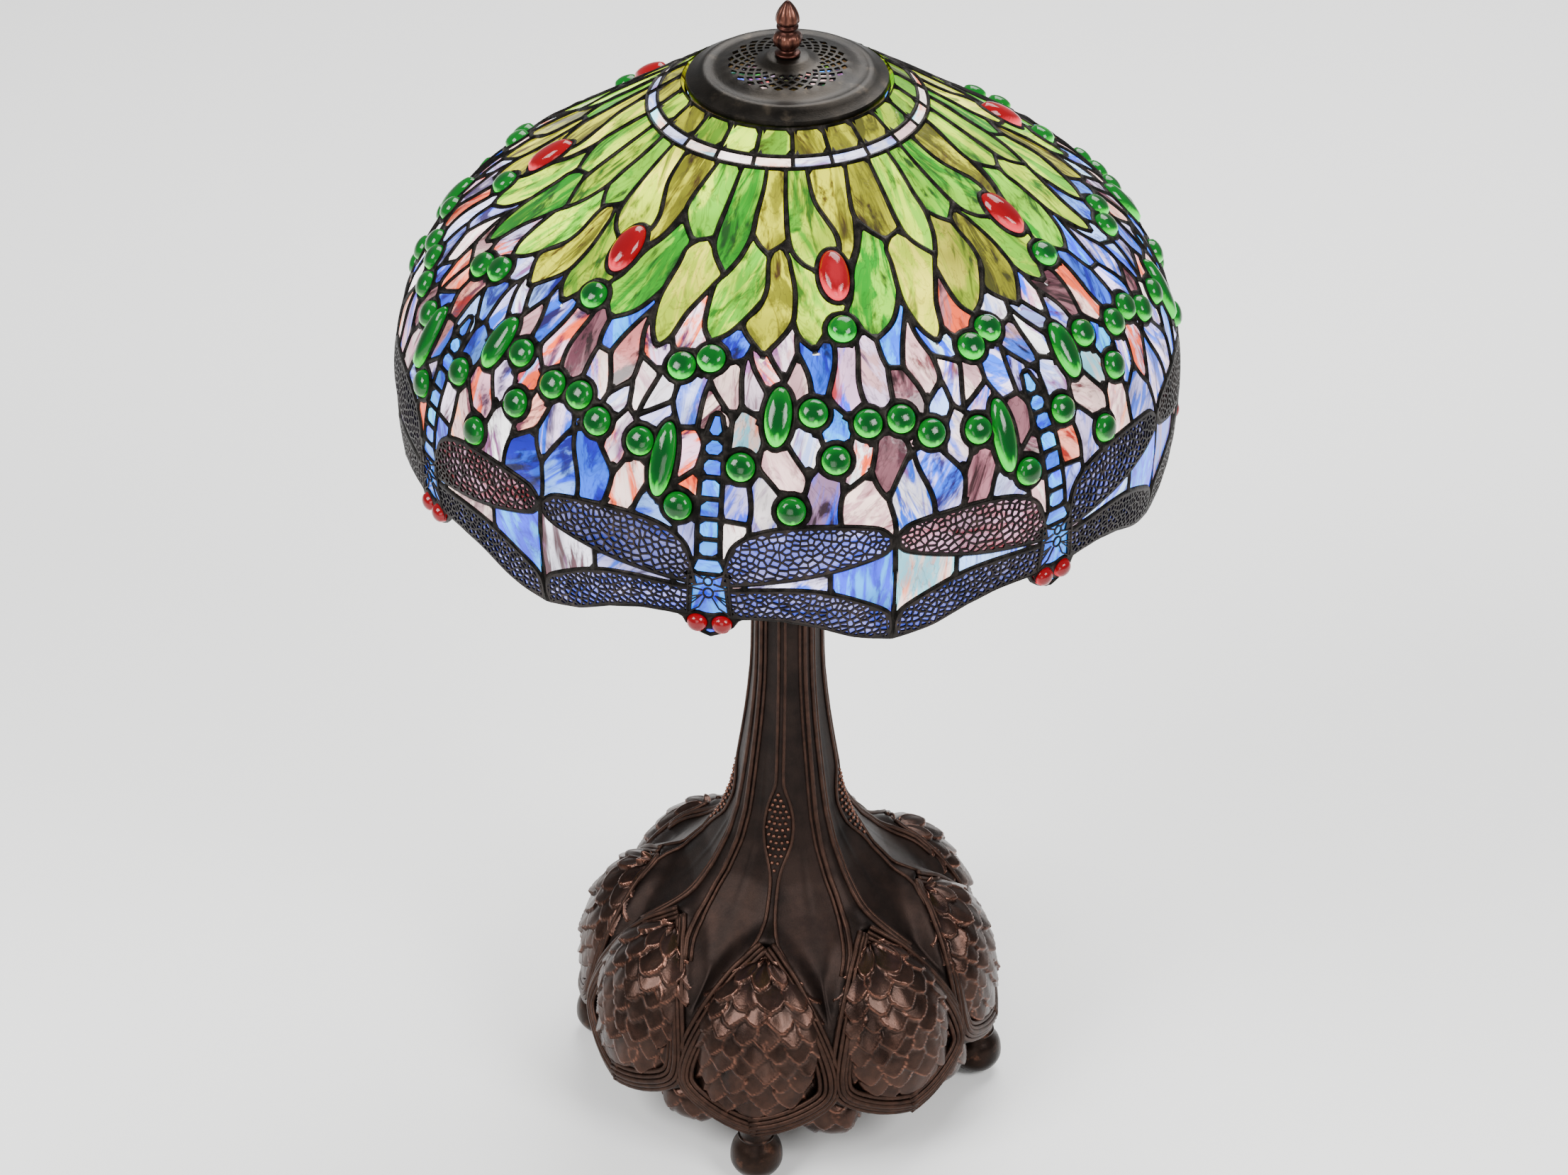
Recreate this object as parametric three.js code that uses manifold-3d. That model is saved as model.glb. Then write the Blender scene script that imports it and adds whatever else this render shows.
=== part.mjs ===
// A stained glass table lamp: a leaded dragonfly shade with seven repeats, carried by a spider on a
// central pipe, over a ribbed cast stem that spreads into a ring of eight pine cones on four ball feet.
// Millimetres, +Z up, origin on the table under the lamp's axis. The front is -Y.
import * as THREE from "three";
import { ParametricGeometry } from "three/addons/geometries/ParametricGeometry.js";
import { mergeVertices } from "three/addons/utils/BufferGeometryUtils.js";
import Module from "manifold-3d";

const wasm = await Module();
wasm.setup();

// ---- Driving dimensions ----

const GAP = 0.3; // left between pieces that touch
const CLEAR = 0.4; // left between cast pieces that touch

// Shade: a straight cone from the crown, a round shoulder, then a side that turns in a little.
const REPEATS = 7; // dragonflies round the rim
const SHADE_TURN = -1.75; // degrees, the first dragonfly against the front foot
const CROWN_RADIUS = 63.3;
const CROWN_HEIGHT = 777;
const CONE_SLOPE = THREE.MathUtils.degToRad(34.06); // fall of the cone below horizontal
const CONE_END_RADIUS = 190;
const SHOULDER_ROUND = 138.6; // radius of the shoulder's arc
const SIDE_ROUND = 322; // radius of the slow turn-in towards the rim
const GLASS = 3; // thickness

// Distances down the shade from the crown's edge, measured along its surface.
const CROWN_END = 21;
const PALE_END = 29;
const BORDER_START = 258;

// Stem and base
const STEM_TOP = 470;
const WALL = 4; // of the casting
const SKIRT_FOOT = 43; // height of the casting's lower edge
const CONES = 8;
const CONE_CENTRE = { radius: 106, height: 92 };
const CONE_HALF = { along: 62, across: 40, out: 40 };
const CONE_LEAN = THREE.MathUtils.degToRad(20);
const FOOT_CIRCLE = 136;
const FOOT_BALL = 18;
const PAD_HEIGHT = 1.6;

// Central pipe and the lamp cluster
const PIPE_RADIUS = 5;
const PIPE_BORE = 3.5;
const PIPE_TOP = 780;
const LAMPS = 3;
const CLUSTER_HEIGHT = 535;
const SOCKET_ROOT = { radius: 46, height: 560 };
const SOCKET_TURN = 10; // degrees from the front to the first socket
const SOCKET_TILT = THREE.MathUtils.degToRad(45); // from vertical, outwards
const SOCKET_RADIUS = 16;
const SOCKET_LENGTH = 46;
const BULB_RADIUS = 30;
const CHAIN_LENGTH = 84;

const CAP_TOP = 793;
const FINIAL_HEIGHT = 37;

// ---- Materials ----

const metal = (color, roughness, metalness = 0.9) =>
  new THREE.MeshStandardMaterial({ color, roughness, metalness });
const glass = (color) =>
  new THREE.MeshStandardMaterial({ color, roughness: 0.2, metalness: 0 });
const MATERIALS = {
  bronze: metal(0x3b2a22, 0.45),
  darkBronze: metal(0x2a2622, 0.5),
  brass: metal(0x8a6a35, 0.35),
  steel: metal(0x8c8c8c, 0.4),
  felt: new THREE.MeshStandardMaterial({ color: 0x1c2a1e, roughness: 1, metalness: 0 }),
  plastic: new THREE.MeshStandardMaterial({ color: 0x141414, roughness: 0.5, metalness: 0 }),
  greenGlass: glass(0x9fc24a),
  paleGlass: glass(0xf0e4da),
  fieldGlass: glass(0x9fb0cc),
  wingGlass: glass(0x4a5590),
  blueGlass: glass(0x3aa6e8),
  redGlass: glass(0xb01020),
  bulbGlass: glass(0xfff4dc),
};

const lamp = new THREE.Group();

function add(name, geometry, material, parent = lamp) {
  const mesh = new THREE.Mesh(geometry, material);
  mesh.name = name;
  parent.add(mesh);
  return mesh;
}

// ---- Shape helpers ----

// A profile of [radius, height] pairs turned about Z.
function turned(profile, segments) {
  const points = profile.map(([radius, height]) => new THREE.Vector2(radius, height));
  return new THREE.LatheGeometry(points, segments).rotateX(Math.PI / 2);
}

// The same for a profile that leaves the axis: it is closed on itself.
function ring(profile, segments) {
  return turned([...profile, profile[0]], segments);
}

// A washer, tube or sleeve.
function sleeve(inner, outer, bottom, top, segments = 24) {
  return ring([[inner, bottom], [outer, bottom], [outer, top], [inner, top]], segments);
}

function solidOf(geometry) {
  const bare = geometry.clone();
  bare.deleteAttribute("normal");
  bare.deleteAttribute("uv");
  const merged = mergeVertices(bare, 1e-4);
  const mesh = new wasm.Mesh({
    numProp: 3,
    vertProperties: new Float32Array(merged.attributes.position.array),
    triVerts: new Uint32Array(merged.index.array),
  });
  return new wasm.Manifold(mesh);
}

function geometryOf(solid) {
  const mesh = solid.getMesh();
  const geometry = new THREE.BufferGeometry();
  geometry.setAttribute("position", new THREE.BufferAttribute(mesh.vertProperties, 3));
  geometry.setIndex(new THREE.BufferAttribute(mesh.triVerts, 1));
  geometry.computeVertexNormals();
  return geometry;
}

// Degrees clockwise from the front, seen from above, as an angle about Z from +X.
const fromFront = (degrees) => THREE.MathUtils.degToRad(degrees - 90);

function polar(radius, angle, height) {
  return new THREE.Vector3(radius * Math.cos(angle), radius * Math.sin(angle), height);
}

// ---- The shade's surface ----

const CONE_LENGTH = (CONE_END_RADIUS - CROWN_RADIUS) / Math.cos(CONE_SLOPE);
const SHOULDER_LENGTH = SHOULDER_ROUND * (Math.PI / 2 - CONE_SLOPE);

// Radius, height and the fall below horizontal at a distance down the shade.
function shadeAt(distance) {
  if (distance <= CONE_LENGTH) {
    return {
      radius: CROWN_RADIUS + distance * Math.cos(CONE_SLOPE),
      height: CROWN_HEIGHT - distance * Math.sin(CONE_SLOPE),
      fall: CONE_SLOPE,
    };
  }
  const end = shadeAt(CONE_LENGTH);
  const onShoulder = Math.min(distance - CONE_LENGTH, SHOULDER_LENGTH);
  const fall = CONE_SLOPE + onShoulder / SHOULDER_ROUND;
  const shoulder = {
    radius: end.radius + SHOULDER_ROUND * (Math.sin(fall) - Math.sin(CONE_SLOPE)),
    height: end.height - SHOULDER_ROUND * (Math.cos(CONE_SLOPE) - Math.cos(fall)),
    fall,
  };
  const onSide = distance - CONE_LENGTH - SHOULDER_LENGTH;
  if (onSide <= 0) return shoulder;
  const turn = onSide / SIDE_ROUND;
  return {
    radius: shoulder.radius - SIDE_ROUND * (1 - Math.cos(turn)),
    height: shoulder.height - SIDE_ROUND * Math.sin(turn),
    fall: fall + turn,
  };
}

// A point of the shade; out is the distance along the surface's normal.
function shadePoint(degrees, distance, out) {
  const { radius, height, fall } = shadeAt(distance);
  return polar(radius + out * Math.sin(fall), fromFront(degrees), height + out * Math.cos(fall));
}

// Straight lines through hand-set points of one repeat, in degrees from its dragonfly and mm.
function repeating(points) {
  const period = 360 / REPEATS;
  return (degrees) => {
    const u = THREE.MathUtils.euclideanModulo(degrees - SHADE_TURN - points[0][0], period) + points[0][0];
    const next = points.findIndex(([at]) => at > u);
    const [u0, s0] = points[next - 1];
    const [u1, s1] = points[next];
    return s0 + ((s1 - s0) * (u - u0)) / (u1 - u0);
  };
}

// The zigzag of leaf tips over the mottled field.
const leafEdge = repeating([
  [-24.4, 147], [-17, 129], [-13.2, 156], [-6.8, 122], [-3, 147], [0.5, 137],
  [6.5, 154], [12, 140], [15.6, 150], [18.5, 143], [24.5, 143], [27.03, 147],
]);

// The rim: wing tips hang lowest at the ends of a repeat, and the dragonfly's chin in the middle.
const rimEdge = repeating([
  [-25.71, 344], [-20, 333], [-14, 325], [-8, 322.5], [-4, 324], [-2, 334], [0, 338], [2, 334],
  [4, 324], [8, 322.5], [14, 325], [20, 333], [25.72, 344],
]);

// A ring of glass between two edges, closed round both ways.
function glassBand(topEdge, bottomEdge, rows, around) {
  const steps = 2 * rows + 2;
  const place = (u, v, target) => {
    const degrees = -360 * u;
    const top = topEdge(degrees);
    const bottom = bottomEdge(degrees);
    const step = Math.round(v * steps) % steps;
    const outside = step <= rows;
    const share = outside ? step / rows : (2 * rows + 1 - step) / rows;
    target.copy(shadePoint(degrees, top + (bottom - top) * share, outside ? 0 : -GLASS));
  };
  return new ParametricGeometry(place, around, steps);
}

// A low plate that follows the shade's outside. The outline gives, for a share along the plate, its two
// edges as [degrees, distance] pairs.
function appliedPlate(outline, steps, inner, outer) {
  const plate = new THREE.BoxGeometry(1, 1, 1, 1, steps, 1);
  const position = plate.attributes.position;
  for (let i = 0; i < position.count; i++) {
    const [left, right] = outline(position.getY(i) + 0.5);
    const across = position.getX(i) + 0.5;
    const degrees = left[0] + (right[0] - left[0]) * across;
    const distance = left[1] + (right[1] - left[1]) * across;
    const point = shadePoint(degrees, distance, position.getZ(i) > 0 ? outer : inner);
    position.setXYZ(i, point.x, point.y, point.z);
  }
  return plate;
}

// An outline read from hand-set rows of [left degrees, left mm, right degrees, right mm].
function outlineThrough(rows, turn, mirror) {
  return (share) => {
    const at = share * (rows.length - 1);
    const row = Math.min(Math.floor(at), rows.length - 2);
    const mixed = rows[row].map((value, i) => value + (rows[row + 1][i] - value) * (at - row));
    const edges = [[turn + mirror * mixed[0], mixed[1]], [turn + mirror * mixed[2], mixed[3]]];
    return mirror > 0 ? edges : edges.reverse();
  };
}

// A faceted cabochon that fills its opening in the glass: a straight edge, then an oval dome.
function cabochon(halfLength, halfWidth, height, grow) {
  const profile = [[0, -GLASS - grow], [1, -GLASS - grow], [1, 1]];
  const steps = 3;
  for (let i = 1; i <= steps; i++) {
    const angle = (i / steps) * (Math.PI / 2);
    profile.push([i === steps ? 0 : Math.cos(angle), 1 + (height - 1) * Math.sin(angle) + grow]);
  }
  return turned(profile, 10).scale(halfWidth + grow, halfLength + grow, 1);
}

// Turns a shape lying over the origin, its length along Y, onto the cone at one place.
function ontoCone(geometry, degrees, distance) {
  geometry.rotateX(CONE_SLOPE);
  geometry.rotateZ(THREE.MathUtils.degToRad(degrees));
  const spot = shadePoint(degrees, distance, 0);
  return geometry.translate(spot.x, spot.y, spot.z);
}

// Rows of one dragonfly from the body outwards: degrees and mm of each wing's upper and lower edge.
const UPPER_WING = [
  [0.8, 284, 0.8, 301], [4, 270, 4, 299], [8, 261, 8, 297], [13, 258.5, 13, 292.5], [18.7, 259, 18.7, 286],
  [24.6, 264, 24.6, 278],
];
const LOWER_WING = [
  [0.8, 303, 0.8, 319], [5.5, 302, 5.5, 321.5], [10.5, 301.5, 10.5, 321], [15, 303, 15, 325.5],
  [20, 310, 20, 332], [24.9, 324, 24.9, 342],
];
// Down the body, from the tail's tip to the chin: mm and half width in degrees.
const BODY = [
  [192, 0.5], [209, 1.15], [232, 1.2], [256, 1.25], [281, 1.3], [297, 2.6], [313, 2.6], [326, 3],
  [336.5, 1.2],
].map(([distance, half]) => [half, distance, -half, distance]);

function dragonfly(turn) {
  const wing = { inner: 1.1, outer: 2.2 };
  const body = { inner: 1.2, outer: 3.6 };
  const plate = (rows, mirror, { inner, outer }) =>
    solidOf(appliedPlate(outlineThrough(rows, turn, mirror), rows.length - 1, inner, outer));
  let solid = plate(BODY, 1, body);
  for (const mirror of [1, -1]) {
    solid = solid.add(plate(UPPER_WING, mirror, wing)).add(plate(LOWER_WING, mirror, wing));
  }
  return geometryOf(solid);
}

function leadedShade() {
  const at = (distance) => () => distance;
  const leafEnd = (degrees) => leafEdge(degrees) - GAP / 2;
  const fieldStart = (degrees) => leafEdge(degrees) + GAP / 2;
  const coarse = REPEATS * 6;
  const fine = REPEATS * 12;
  add("crown_band_glass", glassBand(at(0), at(CROWN_END), 1, coarse), MATERIALS.greenGlass);
  add("pale_band_glass", glassBand(at(CROWN_END + GAP), at(PALE_END), 1, coarse), MATERIALS.paleGlass);

  const jewel = { degrees: 21.7, distance: 102.5, halfLength: 16.5, halfWidth: 9.3, height: 6 };
  let leaves = solidOf(glassBand(at(PALE_END + GAP), leafEnd, 1, fine));
  for (let i = 0; i < REPEATS; i++) {
    const turn = SHADE_TURN + (360 / REPEATS) * i;
    const shaped = (grow) => {
      const stone = cabochon(jewel.halfLength, jewel.halfWidth, jewel.height, grow);
      return ontoCone(stone, turn + jewel.degrees, jewel.distance);
    };
    leaves = leaves.subtract(solidOf(shaped(GAP)));
    add(`red_cabochon_${i + 1}`, shaped(0), MATERIALS.redGlass);
    add(`dragonfly_${i + 1}`, dragonfly(turn), MATERIALS.blueGlass);
  }
  add("leaf_band_glass", geometryOf(leaves), MATERIALS.greenGlass);
  add("field_band_glass", glassBand(fieldStart, at(BORDER_START), 3, fine), MATERIALS.fieldGlass);
  add("dragonfly_border", glassBand(at(BORDER_START + GAP), rimEdge, 2, fine), MATERIALS.wingGlass);
}

// ---- Crown: ring, spider, cap and finial ----

function crownHardware() {
  const section = [[52, 768.4], [61, 768.4], [61, 774], [59, 774], [59, 770.4], [52, 770.4]];
  add("shade_ring", ring(section, 28), MATERIALS.brass);

  const arm = new THREE.BoxGeometry(44, 7, 3).translate(32, 0, 766);
  let spider = solidOf(sleeve(50, 55.5, 764, 768, 28)).add(solidOf(sleeve(5.6, 12, 762, 770, 24)));
  for (let i = 0; i < 3; i++) {
    spider = spider.add(solidOf(arm.clone().rotateZ(fromFront(60 + 120 * i))));
  }
  add("shade_spider", geometryOf(spider), MATERIALS.brass);
  add("spider_nut", sleeve(6.2, 10, 770.5, 775.5, 6), MATERIALS.brass);

  const skin = 1.4;
  const outside = [
    [CROWN_RADIUS, 777.4], [62.6, 779.4], [54, 783.4], [47, 784], [38, 787], [17, 789.8],
    [14, CAP_TOP - 0.6], [12, CAP_TOP],
  ];
  const inside = outside.map(([radius, height]) => [radius - 0.6, height - skin]).reverse();
  const inner = inside.slice(0, -1);
  let cap = solidOf(ring([...outside, [3.7, CAP_TOP], [3.7, CAP_TOP - skin], ...inner, [61.6, 777.4]], 32));
  const rows = [
    { radius: 24, count: 12, size: 2.6 },
    { radius: 32, count: 16, size: 2.8 },
  ];
  for (const { radius, count, size } of rows) {
    for (let i = 0; i < count; i++) {
      const hole = new THREE.CylinderGeometry(size, size, 30, 4).rotateX(Math.PI / 2);
      hole.translate(radius, 0, 785).rotateZ((2 * Math.PI * (i + 0.5)) / count);
      cap = cap.subtract(solidOf(hole));
    }
  }
  add("vent_cap", geometryOf(cap), MATERIALS.darkBronze);

  const base = CAP_TOP + GAP;
  const finial = [
    [0, 16], [3.5, 16], [3.5, 0], [9.5, 0], [9.6, 1], [7.6, 5], [5.9, 8.5], [8.3, 11.5], [8.8, 15],
    [7.4, 19], [5.8, 22], [7.1, 24.5], [6.8, 28], [4.6, 33], [0, FINIAL_HEIGHT - GAP],
  ];
  add("finial", turned(finial.map(([radius, height]) => [radius, base + height]), 20), MATERIALS.bronze);
  add("finial_stud", turned([[0, 750], [3, 750], [3, 808], [0, 808]], 12), MATERIALS.steel);
}

// ---- Base casting ----

// Radius of the stem and skirt against height, outside; the inside keeps the casting's wall.
const STEM = [
  [139, SKIRT_FOOT], [138, 60], [125, 100], [108, 130], [90, 153], [65, 179], [48, 206], [38, 236],
  [30, 282], [25, 340], [23, 410], [22.5, 462],
];

function coneSolid(index, grow) {
  const ball = new THREE.SphereGeometry(1, 12, 8).rotateX(Math.PI / 2);
  ball.scale(CONE_HALF.out + grow, CONE_HALF.across + grow, CONE_HALF.along + grow);
  ball.rotateY(-CONE_LEAN);
  ball.translate(CONE_CENTRE.radius, 0, CONE_CENTRE.height);
  return solidOf(ball.rotateZ(fromFront((360 / CONES) * index)));
}

function baseCasting() {
  const segments = 24;
  const stemTop = [[23.5, 464], [23.5, STEM_TOP]];
  const outer = solidOf(turned([[0, SKIRT_FOOT], ...STEM, ...stemTop, [0, STEM_TOP]], segments));
  const inner = STEM.map(([radius, height]) => [radius - WALL, height]);
  inner[0][1] -= 10;
  inner[0][0] -= 1;
  const cavity = solidOf(turned([[0, SKIRT_FOOT - 10], ...inner, [0, 462]], segments));
  const bore = solidOf(turned([[0, 450], [5.5, 450], [5.5, 480], [0, 480]], 24));
  const below = solidOf(new THREE.BoxGeometry(400, 400, 60).translate(0, 0, SKIRT_FOOT - 30));
  let casting = outer;
  for (let i = 0; i < CONES; i++) casting = casting.add(coneSolid(i, 0));
  casting = casting.subtract(cavity);
  for (let i = 0; i < CONES; i++) casting = casting.subtract(coneSolid(i, -WALL));
  add("base_casting", geometryOf(casting.subtract(bore).subtract(below)), MATERIALS.bronze);
}

function feet() {
  const grown = STEM.map(([radius, height]) => [radius + CLEAR, height]);
  const skirt = solidOf(turned([[0, 0], [grown[0][0], 0], ...grown, [0, STEM_TOP]], 24));
  const below = solidOf(new THREE.BoxGeometry(400, 400, 60).translate(0, 0, SKIRT_FOOT - CLEAR - 30));
  const names = ["front", "right", "back", "left"];
  const flat = 7; // radius of the flat under the ball
  const centre = PAD_HEIGHT + GAP + Math.sqrt(FOOT_BALL ** 2 - flat ** 2);
  const profile = [[0, centre - Math.sqrt(FOOT_BALL ** 2 - flat ** 2)]];
  for (let i = 0; i <= 6; i++) {
    const angle = -Math.acos(flat / FOOT_BALL) + (i / 6) * (Math.PI / 2 + 0.55);
    profile.push([FOOT_BALL * Math.cos(angle), centre + FOOT_BALL * Math.sin(angle)]);
  }
  profile.push([11.5, 40], [13, 50], [15, 58], [0, 58]);
  names.forEach((name, i) => {
    const angle = fromFront(90 * i);
    const at = polar(FOOT_CIRCLE, angle, 0);
    const blank = solidOf(turned(profile, 14).translate(at.x, at.y, 0));
    const casting = coneSolid(2 * i, CLEAR).add(skirt);
    const foot = blank.subtract(casting.subtract(below));
    add(`foot_${name}`, geometryOf(largest(foot)), MATERIALS.bronze);
    const pad = turned([[0, 0], [7, 0], [7, PAD_HEIGHT], [0, PAD_HEIGHT]], 16);
    add(`foot_pad_${name}`, pad.translate(at.x, at.y, 0), MATERIALS.felt);
  });
}

// The biggest body of a solid that a cut may have left in pieces.
function largest(solid) {
  return solid.decompose().reduce((best, body) => (body.volume() > best.volume() ? body : best));
}

function baseHardware() {
  const bushing = { back: 80, bore: 4, hole: 7 };
  const plate = solidOf(sleeve(5.5, 118, 46, 48.5, 32));
  const hole = turned([[0, 40], [bushing.hole, 40], [bushing.hole, 60], [0, 60]], 20);
  const pierced = plate.subtract(solidOf(hole.translate(0, bushing.back, 0)));
  add("bottom_plate", geometryOf(pierced), MATERIALS.steel);
  const flange = [[bushing.bore, 42], [9.5, 42], [9.5, 45.7], [6.6, 45.7], [6.6, 52], [bushing.bore, 52]];
  add("cord_bushing", ring(flange, 20).translate(0, bushing.back, 0), MATERIALS.plastic);
  add("lower_washer", sleeve(5.4, 14, 44, 45.6, 24), MATERIALS.steel);
  add("lower_nut", sleeve(6.2, 10, 38.6, 43.7, 6), MATERIALS.brass);
  add("center_pipe", sleeve(PIPE_BORE, PIPE_RADIUS, 36, PIPE_TOP, 20), MATERIALS.steel);
  const collar = [[5.5, 470.4], [27, 470.4], [28, 474], [25, 478], [16, 483], [12, 490], [5.5, 490]];
  add("column_collar", ring(collar, 28), MATERIALS.bronze);
  add("pipe_sleeve", sleeve(5.4, 8, 490.4, CLUSTER_HEIGHT - 0.4, 20), MATERIALS.brass);
}

// ---- Lamp cluster ----

const lampAngle = (index) => fromFront(SOCKET_TURN + (360 / LAMPS) * index);

// A frame at a socket's root: +Z runs along the socket towards its bulb.
function socketFrame(index) {
  const frame = new THREE.Group();
  const angle = lampAngle(index);
  frame.position.copy(polar(SOCKET_ROOT.radius, angle, SOCKET_ROOT.height));
  frame.rotation.set(0, SOCKET_TILT, angle, "ZYX");
  return frame;
}

function clusterBody() {
  const hub = [[5.6, 0], [18, 0], [24, 5], [25, 12], [21, 19], [12, 24], [9, 28], [5.6, 28]];
  let body = solidOf(ring(hub.map(([radius, height]) => [radius, CLUSTER_HEIGHT + height]), 24));
  const section = new THREE.Shape().absarc(0, 0, 5, 0, 2 * Math.PI);
  const out = new THREE.Vector3(Math.sin(SOCKET_TILT), 0, Math.cos(SOCKET_TILT));
  const end = new THREE.Vector3(SOCKET_ROOT.radius, 0, SOCKET_ROOT.height).addScaledVector(out, -GAP);
  const path = new THREE.CubicBezierCurve3(
    new THREE.Vector3(17, 0, CLUSTER_HEIGHT + 11),
    new THREE.Vector3(30, 0, CLUSTER_HEIGHT + 11),
    end.clone().addScaledVector(out, -12),
    end,
  );
  const drawn = { steps: 6, curveSegments: 5, bevelEnabled: false, extrudePath: path };
  const arm = new THREE.ExtrudeGeometry(section, drawn);
  for (let i = 0; i < LAMPS; i++) {
    body = body.add(solidOf(arm.clone().rotateZ(lampAngle(i))));
  }
  const bore = solidOf(turned([[0, 520], [5.6, 520], [5.6, 580], [0, 580]], 24));
  add("cluster_body", geometryOf(body.subtract(bore)), MATERIALS.brass);
  add("cluster_nut", sleeve(6.2, 10, CLUSTER_HEIGHT + 28.4, CLUSTER_HEIGHT + 33, 6), MATERIALS.brass);
}

function lamps() {
  const capProfile = [[0, 0], [8, 0], [13, 4], [SOCKET_RADIUS, 12], [SOCKET_RADIUS, 17], [0, 17]];
  const shellStart = 17 + GAP;
  const shellProfile = [
    [0, shellStart], [SOCKET_RADIUS - 1, shellStart], [SOCKET_RADIUS, shellStart + 4],
    [SOCKET_RADIUS, SOCKET_LENGTH], [14.4, SOCKET_LENGTH], [14.4, shellStart + 6], [0, shellStart + 6],
  ];
  const screwEnd = SOCKET_LENGTH + 3;
  const base = [[0, 25], [5, 25], [12, 29], [13, 31], [13, screwEnd], [0, screwEnd]];
  const neck = screwEnd + GAP;
  const bulb = [[0, neck], [13, neck], [14.5, neck + 10], [20, neck + 26]];
  const centre = neck + 52;
  for (let i = 0; i <= 6; i++) {
    const angle = -0.62 + (i / 6) * (Math.PI / 2 + 0.62);
    bulb.push([i === 6 ? 0 : BULB_RADIUS * Math.cos(angle), centre + BULB_RADIUS * Math.sin(angle)]);
  }
  for (let i = 0; i < LAMPS; i++) {
    const frame = socketFrame(i);
    lamp.add(frame);
    add(`socket_cap_${i + 1}`, turned(capProfile, 14), MATERIALS.brass, frame);
    add(`socket_shell_${i + 1}`, turned(shellProfile, 14), MATERIALS.brass, frame);
    add(`bulb_base_${i + 1}`, turned(base, 14), MATERIALS.steel, frame);
    add(`bulb_${i + 1}`, turned(bulb, 14), MATERIALS.bulbGlass, frame);

    const hang = polar(SOCKET_ROOT.radius + 37, lampAngle(i), SOCKET_ROOT.height + 4);
    const end = -CHAIN_LENGTH;
    const chain = [
      [0, 0], [1.3, 0], [1.3, end], [3, end - 3], [4.6, end - 11], [4.2, end - 13], [0, end - 13],
    ].reverse();
    const pull = add(`pull_chain_${i + 1}`, turned(chain, 8), MATERIALS.brass);
    pull.position.copy(hang);
  }
}

leadedShade();
crownHardware();
baseCasting();
feet();
baseHardware();
clusterBody();
lamps();

export default lamp;
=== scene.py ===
"""The looks of the stained glass table lamp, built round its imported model.

The file is laid out as an add-on and is run as a script. Each operator makes one piece or one group of like
pieces in the frame's metres: +Z up, the origin on the table under the lamp's axis, the front at -Y.
Sizes in the tables are millimetres and degrees. On the shade a place is (degrees round from its dragonfly,
millimetres down the glass from the crown's edge).
"""

import math

import bmesh
import bpy
import numpy as np
from mathutils import Matrix, Vector, geometry, noise


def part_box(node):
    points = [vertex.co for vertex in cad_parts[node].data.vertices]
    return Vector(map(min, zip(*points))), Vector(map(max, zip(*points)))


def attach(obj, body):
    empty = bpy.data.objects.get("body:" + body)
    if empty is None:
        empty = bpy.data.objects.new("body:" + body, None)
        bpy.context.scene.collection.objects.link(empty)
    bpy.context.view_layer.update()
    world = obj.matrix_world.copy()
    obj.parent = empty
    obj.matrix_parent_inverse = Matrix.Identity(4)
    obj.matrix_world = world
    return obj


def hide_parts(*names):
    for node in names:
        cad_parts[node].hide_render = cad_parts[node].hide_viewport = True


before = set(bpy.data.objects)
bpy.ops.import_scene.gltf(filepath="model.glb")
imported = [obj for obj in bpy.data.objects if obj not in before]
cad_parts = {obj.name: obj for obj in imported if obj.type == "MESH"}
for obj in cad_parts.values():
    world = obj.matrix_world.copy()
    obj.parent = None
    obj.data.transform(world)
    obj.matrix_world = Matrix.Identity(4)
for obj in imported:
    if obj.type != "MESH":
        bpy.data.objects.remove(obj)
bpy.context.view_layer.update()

bl_info = {
    "name": "Dragonfly Table Lamp",
    "version": (1, 0, 0),
    "blender": (4, 5, 0),
    "location": "View3D > Sidebar > Lamp",
    "description": "Builds a leaded glass table lamp round its packed frame",
    "category": "Object",
}

MM = 0.001
REPEATS = 7  # dragonflies round the shade
PERIOD = 360.0 / REPEATS
SHADE_TURN = -1.75  # degrees, the first dragonfly against the front foot
SOCKET_TURN = 10  # degrees from the front to the first socket
CROWN_RADIUS, CROWN_HEIGHT = 63.3, 777.0
CONE_SLOPE = math.radians(34.06)
CONE_LENGTH = (190.0 - CROWN_RADIUS) / math.cos(CONE_SLOPE)
SHOULDER_ROUND, SIDE_ROUND = 138.6, 322.0
SHOULDER_LENGTH = SHOULDER_ROUND * (math.pi / 2 - CONE_SLOPE)
GLASS = 3.0  # thickness
PLAN = 4.0  # plan units to a degree, so that the flat pattern is near true shape at the rim


# ---------------------------------------------------------------- the shade's surface


def shade_at(down):
    """Radius, height and fall below horizontal at distances down the glass, as arrays."""
    down = np.asarray(down, float)
    on_cone = np.minimum(down, CONE_LENGTH)
    on_shoulder = np.clip(down - CONE_LENGTH, 0, SHOULDER_LENGTH)
    on_side = np.maximum(down - CONE_LENGTH - SHOULDER_LENGTH, 0)
    turn = on_side / SIDE_ROUND
    fall = CONE_SLOPE + on_shoulder / SHOULDER_ROUND
    radius = CROWN_RADIUS + on_cone * math.cos(CONE_SLOPE)
    radius = radius + SHOULDER_ROUND * (np.sin(fall) - math.sin(CONE_SLOPE))
    radius = radius - SIDE_ROUND * (1 - np.cos(turn))
    height = CROWN_HEIGHT - on_cone * math.sin(CONE_SLOPE)
    height = height - SHOULDER_ROUND * (math.cos(CONE_SLOPE) - np.cos(fall))
    height = height - SIDE_ROUND * np.sin(turn)
    return radius, height, fall + turn


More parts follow.
